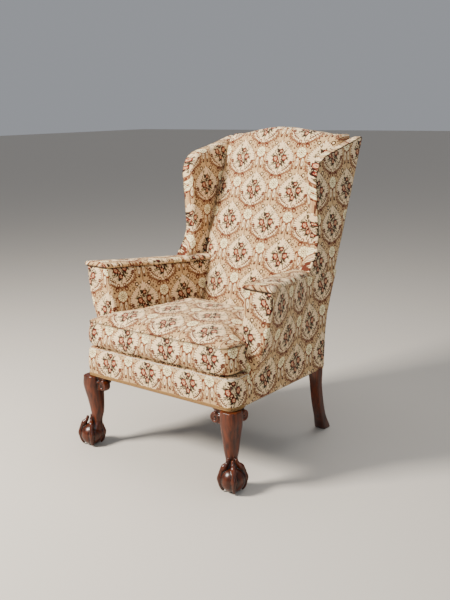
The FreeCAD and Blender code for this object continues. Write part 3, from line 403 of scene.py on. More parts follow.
def rounded(points, radii, count, closed=True):
    """Evenly spaced points along straight runs with an arc at each corner that has a radius."""
    corners = [Vector(point) for point in points]
    path = []
    for number, corner in enumerate(corners):
        if radii[number] == 0:
            path.append(corner)
            continue
        before = (corners[number - 1] - corner).normalized()
        after = (corners[(number + 1) % len(corners)] - corner).normalized()
        half = before.angle(after) / 2
        centre = corner + (before + after).normalized() * radii[number] / sin(half)
        start = corner + before * (radii[number] / tan(half)) - centre
        turn = pi - 2 * half
        spin = 1 if before.x * after.y - before.y * after.x < 0 else -1
        for share in steps(12):
            path.append(centre + Matrix.Rotation(spin * turn * share, 2) @ start)
    if closed:
        path.append(path[0])
    marks = [0]
    for first, second in zip(path, path[1:]):
        marks.append(marks[-1] + (second - first).length)
    spaced = []
    run = 0
    for share in steps(count):
        mark = marks[-1] * share
        while run < len(marks) - 2 and marks[run + 1] < mark:
            run += 1
        part = (mark - marks[run]) / max(marks[run + 1] - marks[run], 1e-9)
        spaced.append(path[run].lerp(path[run + 1], min(part, 1)))
    return spaced, marks[-1]


def faces_out(bm):
    bmesh.ops.recalc_face_normals(bm, faces=bm.faces)


def closed_over(bm, verts):
    """Joins the edges where a grid meets itself and fills its open ends."""
    bmesh.ops.remove_doubles(bm, verts=verts, dist=1e-5)
    bmesh.ops.holes_fill(bm, edges=[edge for edge in bm.edges if edge.is_boundary], sides=0)


def grid_piece(columns, rows, place, cloth, soft=None, closed=False, thick=0, core=None, seam=None,
               gone=None):
    """A bmesh from a grid: place gives each point from its shares across and along, cloth its spot on the
    fabric. An open sheet faces away from its core and has its thickness on its inner side. soft is the depth,
    size and seed of the swells under the cloth, seam says where painted shade is laid on the cloth along
    seams and in crevices, and gone where it is cut out."""
    bm = bmesh.new()
    bmesh.ops.create_grid(bm, x_segments=columns, y_segments=rows, size=0.5)
    bm.verts.index_update()
    layer = bm.loops.layers.uv.new("UVMap")
    # This seam layer holds the painted shade along seams and in crevices.
    drawn = bm.verts.layers.float.new("seam")
    spots = {}
    for vert in bm.verts:
        s, t = vert.co.x + 0.5, vert.co.y + 0.5
        vert.co = place(s, t)
        spots[vert.index] = cloth(s, t, vert.co)
        if seam is not None:
            vert[drawn] = float(seam(s, t))
    for face in bm.faces:
        for loop in face.loops:
            loop[layer].uv = spots[loop.vert.index]
    if gone is not None:
        cut = [face for face in bm.faces if gone(face.calc_center_median())]
        bmesh.ops.delete(bm, geom=cut, context="FACES")
    if closed:
        closed_over(bm, bm.verts)
    faces_out(bm)
    if thick:
        if sum((face.calc_center_median() - core).dot(face.normal) for face in bm.faces) < 0:
            bmesh.ops.reverse_faces(bm, faces=bm.faces)
        bmesh.ops.solidify(bm, geom=bm.faces[:], thickness=thick)
        faces_out(bm)
    if soft is not None:
        softened(bm, *soft)
    return bm


def softened(bm, depth, size, seed):
    """Small hollows and swells of stuffing under the cloth."""
    bm.normal_update()
    moves = []
    for vert in bm.verts:
        spot = vert.co / size + Vector((seed, seed * 0.7, seed * 1.3))
        moves.append(vert.normal * (noise.noise(spot) + 0.5 * noise.noise(spot * 2.3)) * depth)
    for vert, move in zip(bm.verts, moves):
        vert.co += move


def upright(turn, y, z):
    """Cloth laid upright along a side of the chair: its turn and the spot of its middle."""
    return lambda s, t, point: (turn * (point.y - FRONT - y), point.z - z)


def level(s, t, point):
    """Cloth laid level."""
    return point.x, point.y


def add_piece(name, bm, nodes, material=tapestry, slot="tapestry", body="frame"):
    """Makes a bmesh a piece of the chair that rides on a body and stands for drawn nodes."""
    mesh = bpy.data.meshes.new(name)
    bm.to_mesh(mesh)
    bm.free()
    mesh.polygons.foreach_set("use_smooth", [True] * len(mesh.polygons))
    mesh.materials.append(material)
    piece = bpy.data.objects.new(name, mesh)
    bpy.context.scene.collection.objects.link(piece)
    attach(piece, body)
    if nodes:
        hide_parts(*nodes)
    return piece


SIDES = (("right", 1), ("left", -1))

# Inside back


def inside_back():
    """Crowned pad between the wings, rolled over at its top."""
    low, roll, edge = 0.352, 0.03, 0.02
    slope, tuck = 1.0715, 0.058
    columns, rows = 88, 96

    def outline(share, front, rear, half):
        """Left side, crowned front and right side in plan; the last column closes along the rear."""
        side = 6 / columns
        shoulder = front + BACK_CROWN + edge
        if share > 1 - 0.5 / columns:
            share = 0
        if share < side:
            return -half, rear + (shoulder - rear) * share / side
        if share > 1 - 1.5 * side:
            return half, shoulder + (rear - shoulder) * bar(share, 1 - 1.5 * side, 1 - 1 / columns)
        across = bar(share, side, 1 - 1.5 * side) * 2 - 1
        x = half * (0.72 * across + 0.28 * sin(across * pi / 2))
        over = max(0, abs(x) - (half - edge))
        bend = edge - sqrt(max(edge * edge - over * over, 0))
        return x, front + BACK_CROWN * (x / BACK_HALF) ** 2 + bend

    def levels(t):
        """Height share, roll angle and run over the top for a share along the profile."""
        return bar(t, 0, 0.8), bar(t, 0.8, 0.91) * pi / 2, bar(t, 0.91, 1)

    def place(s, t):
        rise, turn, over = levels(t)
        inset = roll * (1 - cos(turn)) + tuck * over
        half = BACK_HALF - 0.01 * (1 - cos(turn)) - 0.004 * over
        x, _ = outline(s, 0, 0, half)
        z = low + (crest_z(x) - roll - low) * rise + roll * sin(turn) - 0.006 * over
        rear = back_y(z) - 0.003
        _, y = outline(s, back_y(z) - BACK_PAD + inset, rear, half)
        return at(x, min(y, rear), z)

    def cloth(s, t, point):
        _, turn, over = levels(t)
        height = point.z if turn == 0 else crest_z(point.x) - roll
        return point.x - 0.0295, (height - low) * slope + roll * turn + tuck * over - 0.442

    # Painted shade in the crevices between the pad's sides and the wings.
    def seam(s, t):
        return t < 0.72 and (s < 6.5 / columns or s > 1 - 9.5 / columns)

    return grid_piece(columns, rows, place, cloth, (0.0022, 0.11, 3), closed=True, seam=seam)


add_piece("inside_back", inside_back(), ("inside_back_cover", "back_stuffing"))

# Wings and outside arms

WING_MIDDLE = Vector((0.585, 0.74))
WING_TOP = 1.0695


def wing_rim(edge, foot, columns):
    """Outline of a wing as points back and up, with its front edge moved back by a distance."""
    def rear(z):
        return BACK_TOP + BACK_RAKE * (z - CREST_EDGE) - 0.003
    points = [(0.44 + edge, foot), (rear(foot), foot), (rear(WING_TOP), WING_TOP), (0.498 + edge, 0.998),
              (0.5195 + edge, 0.711)]
    return rounded(points, [0, 0, 0.004, 0.083, 0.128], columns)[0]


def wing(side):
    """Inside of a wing, rolled over its rim to an edge that lies under the outside panel."""
    columns, rows = 150, 34
    roll = 0.019
    rim = wing_rim(0, 0.6, columns)

    def place(s, t):
        point = rim[round(s * columns)]
        under, outer, inwards = bar(t, 0, 0.06), bar(t, 0.06, 0.15), bar(t, 0.36, 1)
        turn = bar(t, 0.15, 0.36) * pi / 2
        inset = roll * (1 - cos(turn)) + 0.012 * (1 - under)
        spot = (point + (WING_MIDDLE - point).normalized() * inset).lerp(WING_MIDDLE, 0.97 * inwards)
        x = 0.298 + 0.0062 * under - (0.3042 - 0.258 - roll) * outer - roll * sin(turn)
        x -= 0.006 * sin(min(1, inwards * 2.2) * pi / 2)
        return at(side * x, spot.x, spot.y)

    def cloth(s, t, point):
        out = (rim[round(s * columns)] - WING_MIDDLE).normalized() * bar(t, 0.36, 0) * 0.045
        return side * -(point.y - FRONT + out.x - 0.582), point.z + out.y - 0.892

    # Painted shade along the wing's rim, in the groove under the outside panel.
    return grid_piece(columns, rows, place, cloth, (0.0018, 0.09, 5 + side), closed=True,
                      seam=lambda s, t: t < 0.08)


def outside_wing(side):
    columns, rows = 140, 12
    rim = wing_rim(0.0005, 0.606, columns)

    def place(s, t):
        rise = bar(t, 0, 0.3) * pi / 2
        inwards = 0.01 + 0.016 * (1 - cos(rise)) + 0.95 * bar(t, 0.3, 1)
        spot = rim[round(s * columns)].lerp(WING_MIDDLE, inwards)
        return at(side * (0.2995 + 0.005 * sin(rise)), spot.x, spot.y)

    return grid_piece(columns, rows, place, upright(side, 0.6, 0.774),
                      (0.0008, 0.12, 8 + side), closed=True)


def outside_arm(side):
    """Panel from the seat's hem to the arm pad's top edge, and back to the outside back."""
    edge = 0.01

    def place(s, t):
        rear = back_y(HEM + (seam_z(ARM_FRONT) - HEM) * t) - 0.002
        y = ARM_FRONT + (rear - ARM_FRONT) * s
        seam = seam_z(y)
        top = seam + 0.0135 - 0.0095 * ease(bar(y, 0.4, 0.46))
        z = HEM + (top - HEM) * t
        x = arm_outer(y, min(z, seam))
        x -= 0.006 * fall(bar(y, ARM_FRONT, ARM_FRONT + edge)) + 0.004 * (1 - bar(t, 0, 0.03))
        x += 0.0015 * bar(z, seam - 0.02, seam) - 0.0085 * fall(bar(z, top, top - edge))
        return at(side * x, y, z)

    return grid_piece(60, 52, place, upright(side, 0.181, 0.333),
                      (0.0012, 0.13, 11 + side), thick=COVER, core=at(0, 0.3, 0.45))


for name, side in SIDES:
    add_piece("wing_" + name, wing(side), ("inside_wing_cover_" + name, "wing_stuffing_" + name))
    add_piece("outside_wing_" + name, outside_wing(side), ())
    panel = add_piece("outside_arm_" + name, outside_arm(side), ("outside_side_cover_" + name,))

# Arms


def inside_arm(side):
    def place(s, t):
        y = ARM_FRONT + 0.001 + 0.44 * s
        top = seam_z(y) + 0.004
        z = RAIL_TOP + (top - RAIL_TOP) * t
        edges = fall(bar(y, ARM_FRONT, ARM_FRONT + 0.012)) + fall(bar(z, top, top - 0.01))
        swell = 0.004 * sin(pi * t)
        return at(side * (arm_inner(y, z) - swell + 0.008 * edges), y, z)

    # Painted shade along the top edge, in the shadow under the arm pad.
    return grid_piece(50, 26, place, upright(-side / 0.978, 0.232, 0.5),
                      (0.0015, 0.1, 14 + side), thick=COVER, core=at(side * 0.6, 0.3, 0.45),
                      seam=lambda s, t: t > 0.97)


def arm_front(side):
    def place(s, t):
        z = RAIL_TOP + (seam_z(ARM_FRONT) + 0.003 - RAIL_TOP) * t
        left, right = arm_inner(ARM_FRONT, z), arm_outer(ARM_FRONT, z)
        x = left + (right - left) * s
        edge = min(x - left, right - x, 0.012) / 0.012
        dome = 0.006 * (1 - fall(edge)) - 0.004 * ease(bar(t, 0.955, 1))
        return at(side * x, ARM_FRONT + 0.004 - dome, z)

    # Painted shade along the top edge, in the shadow under the arm pad.
    return grid_piece(22, 40, place, lambda s, t, point: (side * point.x - 0.309, point.z - 0.478),
                      (0.0008, 0.1, 17 + side), thick=COVER, core=at(side * 0.35, 0.5, 0.45),
                      seam=lambda s, t: t > 0.98)


PAD_EDGE = [(1.00, 0.0015), (1.09, 0.0028), (1.125, 0.007), (1.105, 0.012), (1.02, 0.016), (0.9, 0.0184),
            (0.6, 0.0198)]
PAD_SECTION = ([(-x, z) for x, z in PAD_EDGE] + [(0, 0.0208)] + PAD_EDGE[::-1]
               + [(0.97, 0), (0.5, 0), (0, 0), (-0.5, 0), (-0.97, 0)])
PAD_HALF = 0.05
PAD_MIDDLE = 0.0085


def arm_pad(side):
    """Boxed pad on the arm, with a rolled edge all round over the seam."""
    columns, rows = 60, 90
    front, rear = ARM_FRONT - 0.007, 0.575
    section, _ = rounded([(x * PAD_HALF, z) for x, z in PAD_SECTION], [0] * len(PAD_SECTION), columns)

    def place(s, t):
        y = front + (rear - front) * (t - 0.036 * sin(2 * pi * t))
        base = max(y, ARM_FRONT)
        low = seam_z(base)
        left, right = arm_inner(base, low), arm_outer(base, low)
        point = section[round(s * columns)]
        drop = fall(bar(y, front, front + 0.0045))
        half = (right - left) / 2 - 0.004 * drop
        if point.x > 0:
            half -= half * 0.11 * bar(y, front + 0.012, front + 0.05) * bar(point.x, 0.03, PAD_HALF)
            half -= 0.006 * bar(y, 0.4, 0.46)
        lift = point.y if drop < 0.01 else PAD_MIDDLE + (point.y - PAD_MIDDLE) * (1 - 0.55 * drop)
        swell = 0.0012 * noise.noise(Vector((y * 9, point.x * 30, side * 3)))
        return at(side * ((left + right) / 2 + half * point.x / PAD_HALF), y, low + lift + swell)

    def cloth(s, t, point):
        wrap = 1 if abs(point.x) > 0.33 else -1
        return point.y - FRONT - 0.3, side * point.x + (point.z - 0.63) * wrap + 0.02

    # Painted shade along the pad's underside at its front and its inner side, in the groove over the arm.
    def seam(s, t):
        point = section[round(s * columns)]
        return point.y < 0.0018 and (t < 0.03 or point.x < 0)

    return grid_piece(columns, rows, place, cloth, (0.0012, 0.05, 20 + side), closed=True, seam=seam)


for name, side in SIDES:
    add_piece("inside_arm_" + name, inside_arm(side), ("inside_arm_cover_" + name, "arm_stuffing_" + name))
    face = add_piece("arm_face_" + name, arm_front(side), ("arm_front_cover_" + name,))
    add_piece("arm_top_" + name, arm_pad(side), ("arm_pad_" + name,))

# Outside back


def outside_back():
    half, edge = SEAT_REAR - 0.0015, 0.008

    def place(s, t):
        x = (2 * s - 1) * half
        top = crest_z(x) - 0.014
        z = HEM + (top - HEM) * t
        return at(x, back_y(z) - 0.004 * fall(min(half - abs(x), top - z, edge) / edge), z)

    return grid_piece(56, 80, place, lambda s, t, point: (-point.x, point.z * 1.06 - 0.4),
                      (0.001, 0.16, 23), thick=COVER, core=at(0, 0.2, 0.7))


piece = add_piece("outside_back", outside_back(), ("outside_back_cover",))

# Seat: border and braid

BORDER_ROLL = 0.015
BORDER_IN = 0.024
CORNER = 0.025
BRAID = 0.012


def seat_line(outwards, rear, count):
    """Evenly spaced plan points round the seat's front from one side to the other, and their run."""
    points = [(-side_x(rear) - outwards, rear), (-SEAT_FRONT - outwards, -outwards),
              (SEAT_FRONT + outwards, -outwards), (side_x(rear) + outwards, rear)]
    return rounded(points, [0, CORNER + outwards, CORNER + outwards, 0], count, closed=False)


def border():
    """Cloth from the platform's edge over a firm roll and down to the hem."""
    columns, rows = 150, 26
    outer, run = seat_line(0, ARM_FRONT, columns)
    inner, _ = seat_line(-BORDER_IN, ARM_FRONT, columns)

    def place(s, t):
        number = round(s * columns)
        turn = bar(t, 0.12, 0.34) * pi / 2
        if turn > 0:
            inset = BORDER_ROLL * (1 - sin(turn))
        else:
            inset = BORDER_ROLL + (BORDER_IN - BORDER_ROLL) * (1 - t / 0.12)
        down = bar(t, 0.34, 0.93)
        under = bar(t, 0.93, 1)
        z = BORDER_TOP + 0.001 - BORDER_ROLL * (1 - cos(turn)) - (BORDER_TOP - BORDER_ROLL - HEM) * down
        bulge = 0.0035 * sin(pi * down)
        spot = outer[number].lerp(inner[number], (inset - bulge + 0.008 * under) / BORDER_IN)
        return at(spot.x, spot.y, z + 0.001 * under)

    def cloth(s, t, point):
        return (s - 0.5) * run + 0.03, point.z - 0.325 + 0.02 * bar(t, 0.34, 0)

    return grid_piece(columns, rows, place, cloth, (0.001, 0.08, 29), thick=0.0022, core=at(0, 0.3, 0.3))


piece = add_piece("front_border", border(), ("front_border_cover",))


def ramp(tree, share, dark, light, low=0.0, high=1.0):
    """A colour that goes from dark to light as a share goes from low to high."""
    node = add_node(tree, "ValToRGB", {0: share})
    for element, place, colour in zip(node.color_ramp.elements, (low, high), (dark, light)):
        element.position = place
        element.color = colour
    return node.outputs[0]


def braid_material():
    material, tree = new_tree("gimp_braid")
    cloth = add_node(tree, "UVMap", {}, uv_map="UVMap")
    metres_along, metres_up, _ = signals(tree, cloth.outputs[0])
    along, up = metres_along * 1000, metres_up * 1000
    twist = sine(along * 1.9 + abs(up - 6) * 1.6)
    share = calc("MULTIPLY_ADD", twist, 0.5, 0.5) * abs(sine(up * (pi / 4)))
    colour = ramp(tree, share, srgb(88, 54, 22), srgb(206, 160, 88))
    finish_shader(tree, colour, share, 0.8, 0.0012, Roughness=0.7)
    return material


def braid():
    """Narrow gimp along the border's hem, in two raised cords."""
    columns, rows = 300, 8
    line, run = seat_line(0.0005, 0.058, columns)

    def place(s, t):
        number = round(s * columns)
        first = line[max(number - 1, 0)]
        last = line[min(number + 1, columns)]
        outwards = Vector((last.y - first.y, first.x - last.x)).normalized()
        spot = line[number] + outwards * (0.0008 + 0.0022 * abs(sin(2 * pi * t)) ** 0.6)
        return at(spot.x, spot.y, HEM + BRAID * t)

    return grid_piece(columns, rows, place, lambda s, t, point: (s * run, BRAID * t), thick=0.0008,
                      core=at(0, 0.3, 0.27))


add_piece("front_gimp", braid(), ("front_braid",), braid_material(), "braid")

# Seat cushion

CUSHION_LOW = 0.3668
CUSHION_SEAM = 0.461
CUSHION_FRONT = -0.01
CUSHION_REAR = 0.45
CUSHION_CROWN = 0.036
CUSHION_MIDDLE = Vector((0, 0.22))


def cushion_plan(count):
    """The cushion's outline: bowed front with small corners, sides that follow the arms."""
    def half(y):
        return arm_inner(y, 0.43) - 0.004
    right = [(0.318, CUSHION_FRONT + 0.004), (0.32, 0.09), (half(0.125), 0.125), (half(0.3), 0.3),
             (half(CUSHION_REAR), CUSHION_REAR)]
    points = [(0, CUSHION_FRONT)] + right + [(0, CUSHION_REAR - 0.004)] + [(-x, y) for x, y in right[::-1]]
    radii = [0.034, 0.012, 0.03, 0, 0.03]
    return rounded(points, [0] + radii + [0] + radii[::-1], count)


def in_order(bm):
    """Puts a mesh's elements in one order by their places, so that a simulation runs the same each time."""
    def place(item):
        corners = [vert.co for vert in getattr(item, "verts", (item,))]
        return sum(corners, Vector()).dot((1, 1000, 1000000)) / len(corners)
    for items in (bm.verts, bm.edges, bm.faces):
        items.sort(key=place)
        items.index_update()


def cushion():
    """A grid for the lower panel, drawn up into the boxing and the top panel."""
    across = 56
    levels = 8
    plan, run = cushion_plan(4 * across)

    def nearest(x, y, last):
        return min(range(last), key=lambda number: (plan[number] - Vector((x, y))).length)

    corner = nearest(0.33, CUSHION_FRONT - 0.01, len(plan) // 4)
    rear_corner = nearest(0.3, CUSHION_REAR + 0.01, len(plan) // 2)
    marks = [0, corner, rear_corner, 4 * across - rear_corner, 4 * across - corner, 4 * across]
    stops = [0, 1 / 8, 3 / 8, 5 / 8, 7 / 8, 1]

    def share_of(a, b):
        """Share of the way round from the middle of the front, for a point on the edge of the square."""
        if b == -1:
            return a / 8
        if a == 1:
            return (b + 2) / 8
        return (4 - a) / 8 if b == 1 else (6 - b) / 8

    def outline_point(share):
        share %= 1
        part = max(number for number in range(5) if stops[number] <= share)
        along = (share - stops[part]) / (stops[part + 1] - stops[part])
        spot = marks[part] + (marks[part + 1] - marks[part]) * along
        low = min(int(spot), 4 * across - 1)
        return plan[low].lerp(plan[low + 1], spot - low), spot / (4 * across)

    bm = bmesh.new()
    bmesh.ops.create_grid(bm, x_segments=across, y_segments=across, size=1)
    raised = bmesh.ops.extrude_face_region(bm, geom=bm.faces[:], use_keep_orig=True)["geom"]
    raised = [item for item in raised if isinstance(item, bmesh.types.BMVert)]
    bmesh.ops.translate(bm, verts=raised, vec=(0, 0, 1))
    walls = [edge for edge in bm.edges if abs(edge.verts[0].co.z - edge.verts[1].co.z) > 0.5]
    bmesh.ops.subdivide_edges(bm, edges=walls, cuts=levels - 1, use_grid_fill=True)
    in_order(bm)
    layer = bm.loops.layers.uv.new("UVMap")
    # This seam layer holds the painted shade at the cushion's seams.
    drawn = bm.verts.layers.float.new("seam")
    rises, arounds = {}, {}
    for vert in bm.verts:
        a, b, rise = round(vert.co.x, 5), round(vert.co.y, 5), vert.co.z
        top, bottom = rise > 0.99, rise < 0.01
        reach = max(abs(a), abs(b))
        rises[vert.index] = round(rise, 4)
        if reach == 0:
            spot = CUSHION_MIDDLE.copy()
            outwards = Vector((0, 0))
        else:
            edge, around = outline_point(share_of(a / reach, b / reach))
            outwards = (edge - CUSHION_MIDDLE).normalized()
            arounds[vert.index] = around
            square = Vector((a * 0.27, CUSHION_MIDDLE.y + b * 0.225))
            spot = square.lerp(CUSHION_MIDDLE + (edge - CUSHION_MIDDLE) * reach, reach ** 1.5)
            pinch = 0.0035 if top else 0
            tuck = 0.019 * (1 - min(1, rise / 0.26)) ** 2
            spot += outwards * (pinch - tuck) * max(0, 1 - (1 - reach) * 22)
        if not top and not bottom:
            spot += outwards * (0.007 * sin(pi * rise) * (1 - rise ** 6))
        # Painted shade along the edges of the top and bottom panels, in the gaps at the cushion's seams.
        vert[drawn] = float(reach > 0.99 and (top or bottom))
        height = CUSHION_LOW + (CUSHION_SEAM - CUSHION_LOW) * rise
        if top:
            height += (1 - reach ** 3.0) * CUSHION_CROWN
        if bottom:
            height += 0.0075 * max(0, 1 - (1 - reach) * 14)
        vert.co = at(spot.x, spot.y, height)
    for face in bm.faces:
        heights = [rises[vert.index] for vert in face.verts]
        around = [arounds.get(vert.index, 0) for vert in face.verts]
        wrap = max(around) - min(around) > 0.5
        for loop, share in zip(face.loops, around):
            point = loop.vert.co
            if min(heights) > 0.99:
                loop[layer].uv = (point.x - 0.015, point.y - FRONT - 0.055)
            elif max(heights) < 0.01:
                loop[layer].uv = (point.x, point.y)
            else:
                share = share - 1 if share > 0.5 and not wrap else share
                loop[layer].uv = (share * run - 0.066, point.z - 0.425)
    faces_out(bm)
    softened(bm, 0.0022, 0.09, 33)
    return bm


def puffed(piece, held_below, cap):
    """Blows a padded piece up with Blender's Cloth, held at its foot, no point moving past the cap."""
    mesh = piece.data
    before = [vert.co.copy() for vert in mesh.vertices]
    group = piece.vertex_groups.new(name="held")
    for vert in mesh.vertices:
        group.add([vert.index], float(vert.co.z < held_below), "REPLACE")
    cloth = piece.modifiers.new("Cloth", "CLOTH")
    settings = cloth.settings
    settings.quality = 5
    settings.mass = 0.3
    settings.tension_stiffness = settings.compression_stiffness = 40
    settings.shear_stiffness = 20
    settings.bending_stiffness = 1.5
    settings.use_pressure = True
    settings.uniform_pressure_force = 4
    settings.vertex_group_mass = group.name
    settings.effector_weights.gravity = 0
    scene = bpy.context.scene
    for number in range(1, 21):
        scene.frame_set(number)
    after = piece.evaluated_get(bpy.context.evaluated_depsgraph_get()).to_mesh()
    for vert, start, blown in zip(mesh.vertices, before, after.vertices):
        move = blown.co - start
        vert.co = start + move * min(1, cap / max(move.length, 1e-9))
    piece.to_mesh_clear()
    piece.modifiers.remove(cloth)
    piece.vertex_groups.remove(group)
    scene.frame_set(1)


loose_cushion = add_piece("loose_cushion", cushion(), ("seat_cushion_cover", "seat_cushion_filling"),
                          body="seat_cushion")
puffed(loose_cushion, CUSHION_LOW + 0.02, 0.008)

# Wood


def wood_material(name, light, dark, gloss):
    """Polished timber: long grain, and darker stain where the carving is hollow."""
    material, tree = new_tree(name)
    place = add_node(tree, "TexCoord", {})
    stretch = add_node(tree, "Mapping", {0: place.outputs["Object"], "Scale": (34, 34, 5)})
    grain = add_node(tree, "TexNoise", {"Vector": stretch.outputs[0], "Scale": 3, "Detail": 6,
                                        "Distortion": 0.6})
    hollow = add_node(tree, "Attribute", {}, attribute_name="hollow")
    colour = ramp(tree, grain.outputs[0], dark, light, 0.3, 0.68)
    colour = paint(tree, colour, Signal(tree, hollow.outputs["Fac"]), srgb(16, 6, 3))
    finish_shader(tree, colour, grain.outputs[0], 0.12, 0.0006, Roughness=gloss, Specular_IOR_Level=0.38)
    return material


walnut = wood_material("walnut", srgb(96, 40, 13), srgb(34, 11, 3), 0.28)
beech = wood_material("beech", srgb(206, 172, 130), srgb(176, 138, 98), 0.6)


def spline(marks, value):
    """Smooth curve through (mark, value) pairs."""
    value = min(max(value, marks[0][0]), marks[-1][0])
    spot = max(number for number in range(len(marks) - 1) if marks[number][0] <= value)

    def slope(number):
        before, after = marks[max(number - 1, 0)], marks[min(number + 1, len(marks) - 1)]
        return (after[1] - before[1]) / (after[0] - before[0])

    (low, first), (high, second) = marks[spot], marks[spot + 1]
    span = high - low
    share = (value - low) / span
    square, cube = share * share, share ** 3
    return ((2 * cube - 3 * square + 1) * first + (cube - 2 * square + share) * span * slope(spot)
            + (3 * square - 2 * cube) * second + (cube - square) * span * slope(spot + 1))


def add_grid(bm, around, rows, place):
    """A closed solid from a grid: place gives each point from its angle round and its row."""
    verts = bmesh.ops.create_grid(bm, x_segments=around, y_segments=rows, size=0.5)["verts"]
    for vert in verts:
        vert.co = place(2 * pi * (vert.co.x + 0.5), round((vert.co.y + 0.5) * rows))
    closed_over(bm, verts)


def add_stack(bm, sections, count=48):
    """A closed solid through level sections: (x, y, z, half width, half depth, corner power)."""
    def place(angle, row):
        x, y, z, wide, deep, power = sections[row]
        across = copysign(abs(cos(angle)) ** power, cos(angle))
        along = copysign(abs(sin(angle)) ** power, sin(angle))
        return at(x + wide * across, y + deep * along, z)
    add_grid(bm, count, len(sections) - 1, place)


def add_tube(bm, path, sizes, across):
    """A closed tube along points, with a radius at each; across is a direction off its plane."""
    rows = len(path) - 1
    first = across.normalized()

    def place(angle, row):
        ahead = (path[min(row + 1, rows)] - path[max(row - 1, 0)]).normalized()
        second = ahead.cross(first).normalized()
        return path[row] + (first * cos(angle) + second * sin(angle)) * sizes[row]
    add_grid(bm, 14, rows, place)


def smoothed(bm, times):
    for _ in range(times):
        bmesh.ops.smooth_vert(bm, verts=bm.verts, factor=0.5, use_axis_x=True, use_axis_y=True,
                              use_axis_z=True)


def carved(bm, voxel):
    """Fuses overlapping shapes into one skin, softens it and marks its hollows for the stain."""
    faces_out(bm)
    mesh = bpy.data.meshes.new("rough")
    bm.to_mesh(mesh)
    bm.free()
    holder = bpy.data.objects.new("rough", mesh)
    bpy.context.scene.collection.objects.link(holder)
    fused = holder.modifiers.new("Remesh", "REMESH")
    fused.mode = "VOXEL"
    fused.voxel_size = voxel
    result = bmesh.new()
    result.from_object(holder, bpy.context.evaluated_depsgraph_get())
    bpy.data.objects.remove(holder)
    bpy.data.meshes.remove(mesh)
    smoothed(result, 2)
    broad = result.copy()
    smoothed(broad, 14)
    result.normal_update()
    hollow = result.verts.layers.float.new("hollow")
    for vert, other in zip(result.verts, broad.verts):
        # The foot is also made darker towards the bottom, below 12 cm.
        low = 0.3 * (1 - bar(vert.co.z, 0.06, 0.12))
        vert[hollow] = min(1, low + bar((other.co - vert.co).dot(vert.normal), 0.00005, 0.0008))
    broad.free()
    return result


UP = Vector((0, 0, 1))
FOOT_X = 0.325
FOOT_Y = 0.003
BALL_Z = 0.04
BALL = 0.0405
ANKLE = 0.06
KNEE = 0.0113
EAR = 0.05
POST_LEVELS = (0.256, 0.3, RAIL_TOP - 0.001)
LEG_BACK = [(ANKLE, 0.008), (0.092, 0.02), (0.125, 0.023), (0.172, 0.02), (0.226, 0.014), (HEM, 0.015)]
LEG_HALF = [(ANKLE, 0.03), (0.076, 0.024), (0.094, 0.0186), (0.125, 0.0228), (0.172, 0.0272),
            (0.226, 0.0322), (HEM, 0.0305)]
LEG_POWER = [(ANKLE, 0.95), (0.125, 0.86), (0.172, 0.76), (0.226, 0.7), (HEM, 0.62)]
CLAW_REACH = list(zip(steps(8), (0.012, 0.0165, 0.0265, 0.035, 0.0395, 0.0405, 0.0385, 0.0335, 0.029)))
CLAW_HEIGHT = list(zip(steps(8), (0.108, 0.094, 0.083, 0.071, 0.056, 0.04, 0.025, 0.011, 0.0025)))
CLAW_SIZE = [(0, 0.005), (0.125, 0.0066), (0.26, 0.0102), (0.36, 0.0076), (0.46, 0.0074), (0.58, 0.0102),
             (0.68, 0.0078), (0.8, 0.0066), (0.92, 0.0044), (1, 0.0018)]


def claw(bm, side, turn):
    """One toe: a knuckled tube down the ball with a pointed talon."""
    heading = Vector((side * cos(turn), sin(turn), 0))
    path = []
    for share in steps(48):
        point = at(side * FOOT_X, FOOT_Y, BALL_Z) + heading * spline(CLAW_REACH, share)
        point.z = spline(CLAW_HEIGHT, share)
        path.append(point)
    add_tube(bm, path, [spline(CLAW_SIZE, share) for share in steps(48)], heading.cross(UP))


def scroll(bm, centre, along):
    """The raised C-scroll of an ear: a bead that turns over the ear's end and winds in to its eye."""
    path, sizes = [], []
    for share in steps(12):
        path.append(centre - along * (0.034 * (1 - share)) + UP * (0.0165 - 0.007 * sin(pi * share)))
        sizes.append(0.0022 + 0.0022 * share)
    for share in steps(56)[1:]:
        angle = pi / 2 - 2 * pi * 1.55 * share
        reach = 0.0165 * (1 - share) ** 0.72 + 0.0005
        path.append(centre + along * (reach * cos(angle)) + UP * (reach * sin(angle)))
        sizes.append(0.0044 - 0.0012 * share)
    add_tube(bm, path, sizes, along.cross(UP))


def ear(bm, side, front):
    """Bracket beside the knee with a scroll on its face, along the front rail or along the side rail."""
    start = FOOT_X - KNEE if front else FOOT_Y + KNEE
    sections = []
    for share in steps(26):
        waist = exp(-((share - 0.78) / 0.12) ** 2)
        reach = 0.073 - 0.017 * fall(min(1, (share + 0.02) / 0.36)) - 0.01 * waist
        thin = 0.0125 - 0.003 * waist
        z = HEM - EAR + EAR * share
        if front:
            sections.append((side * (start - reach / 2), 0.015, z, reach / 2, thin, 0.32))
        else:
            sections.append((side * 0.3085, start + reach / 2, z, thin, reach / 2, 0.32))
    add_stack(bm, sections, 44)
    if front:
        scroll(bm, at(side * (start - 0.0545), 0.0015, HEM - 0.0315), Vector((-side, 0, 0)))
    else:
        scroll(bm, at(side * 0.3225, start + 0.0545, HEM - 0.0315), Vector((0, 1, 0)))


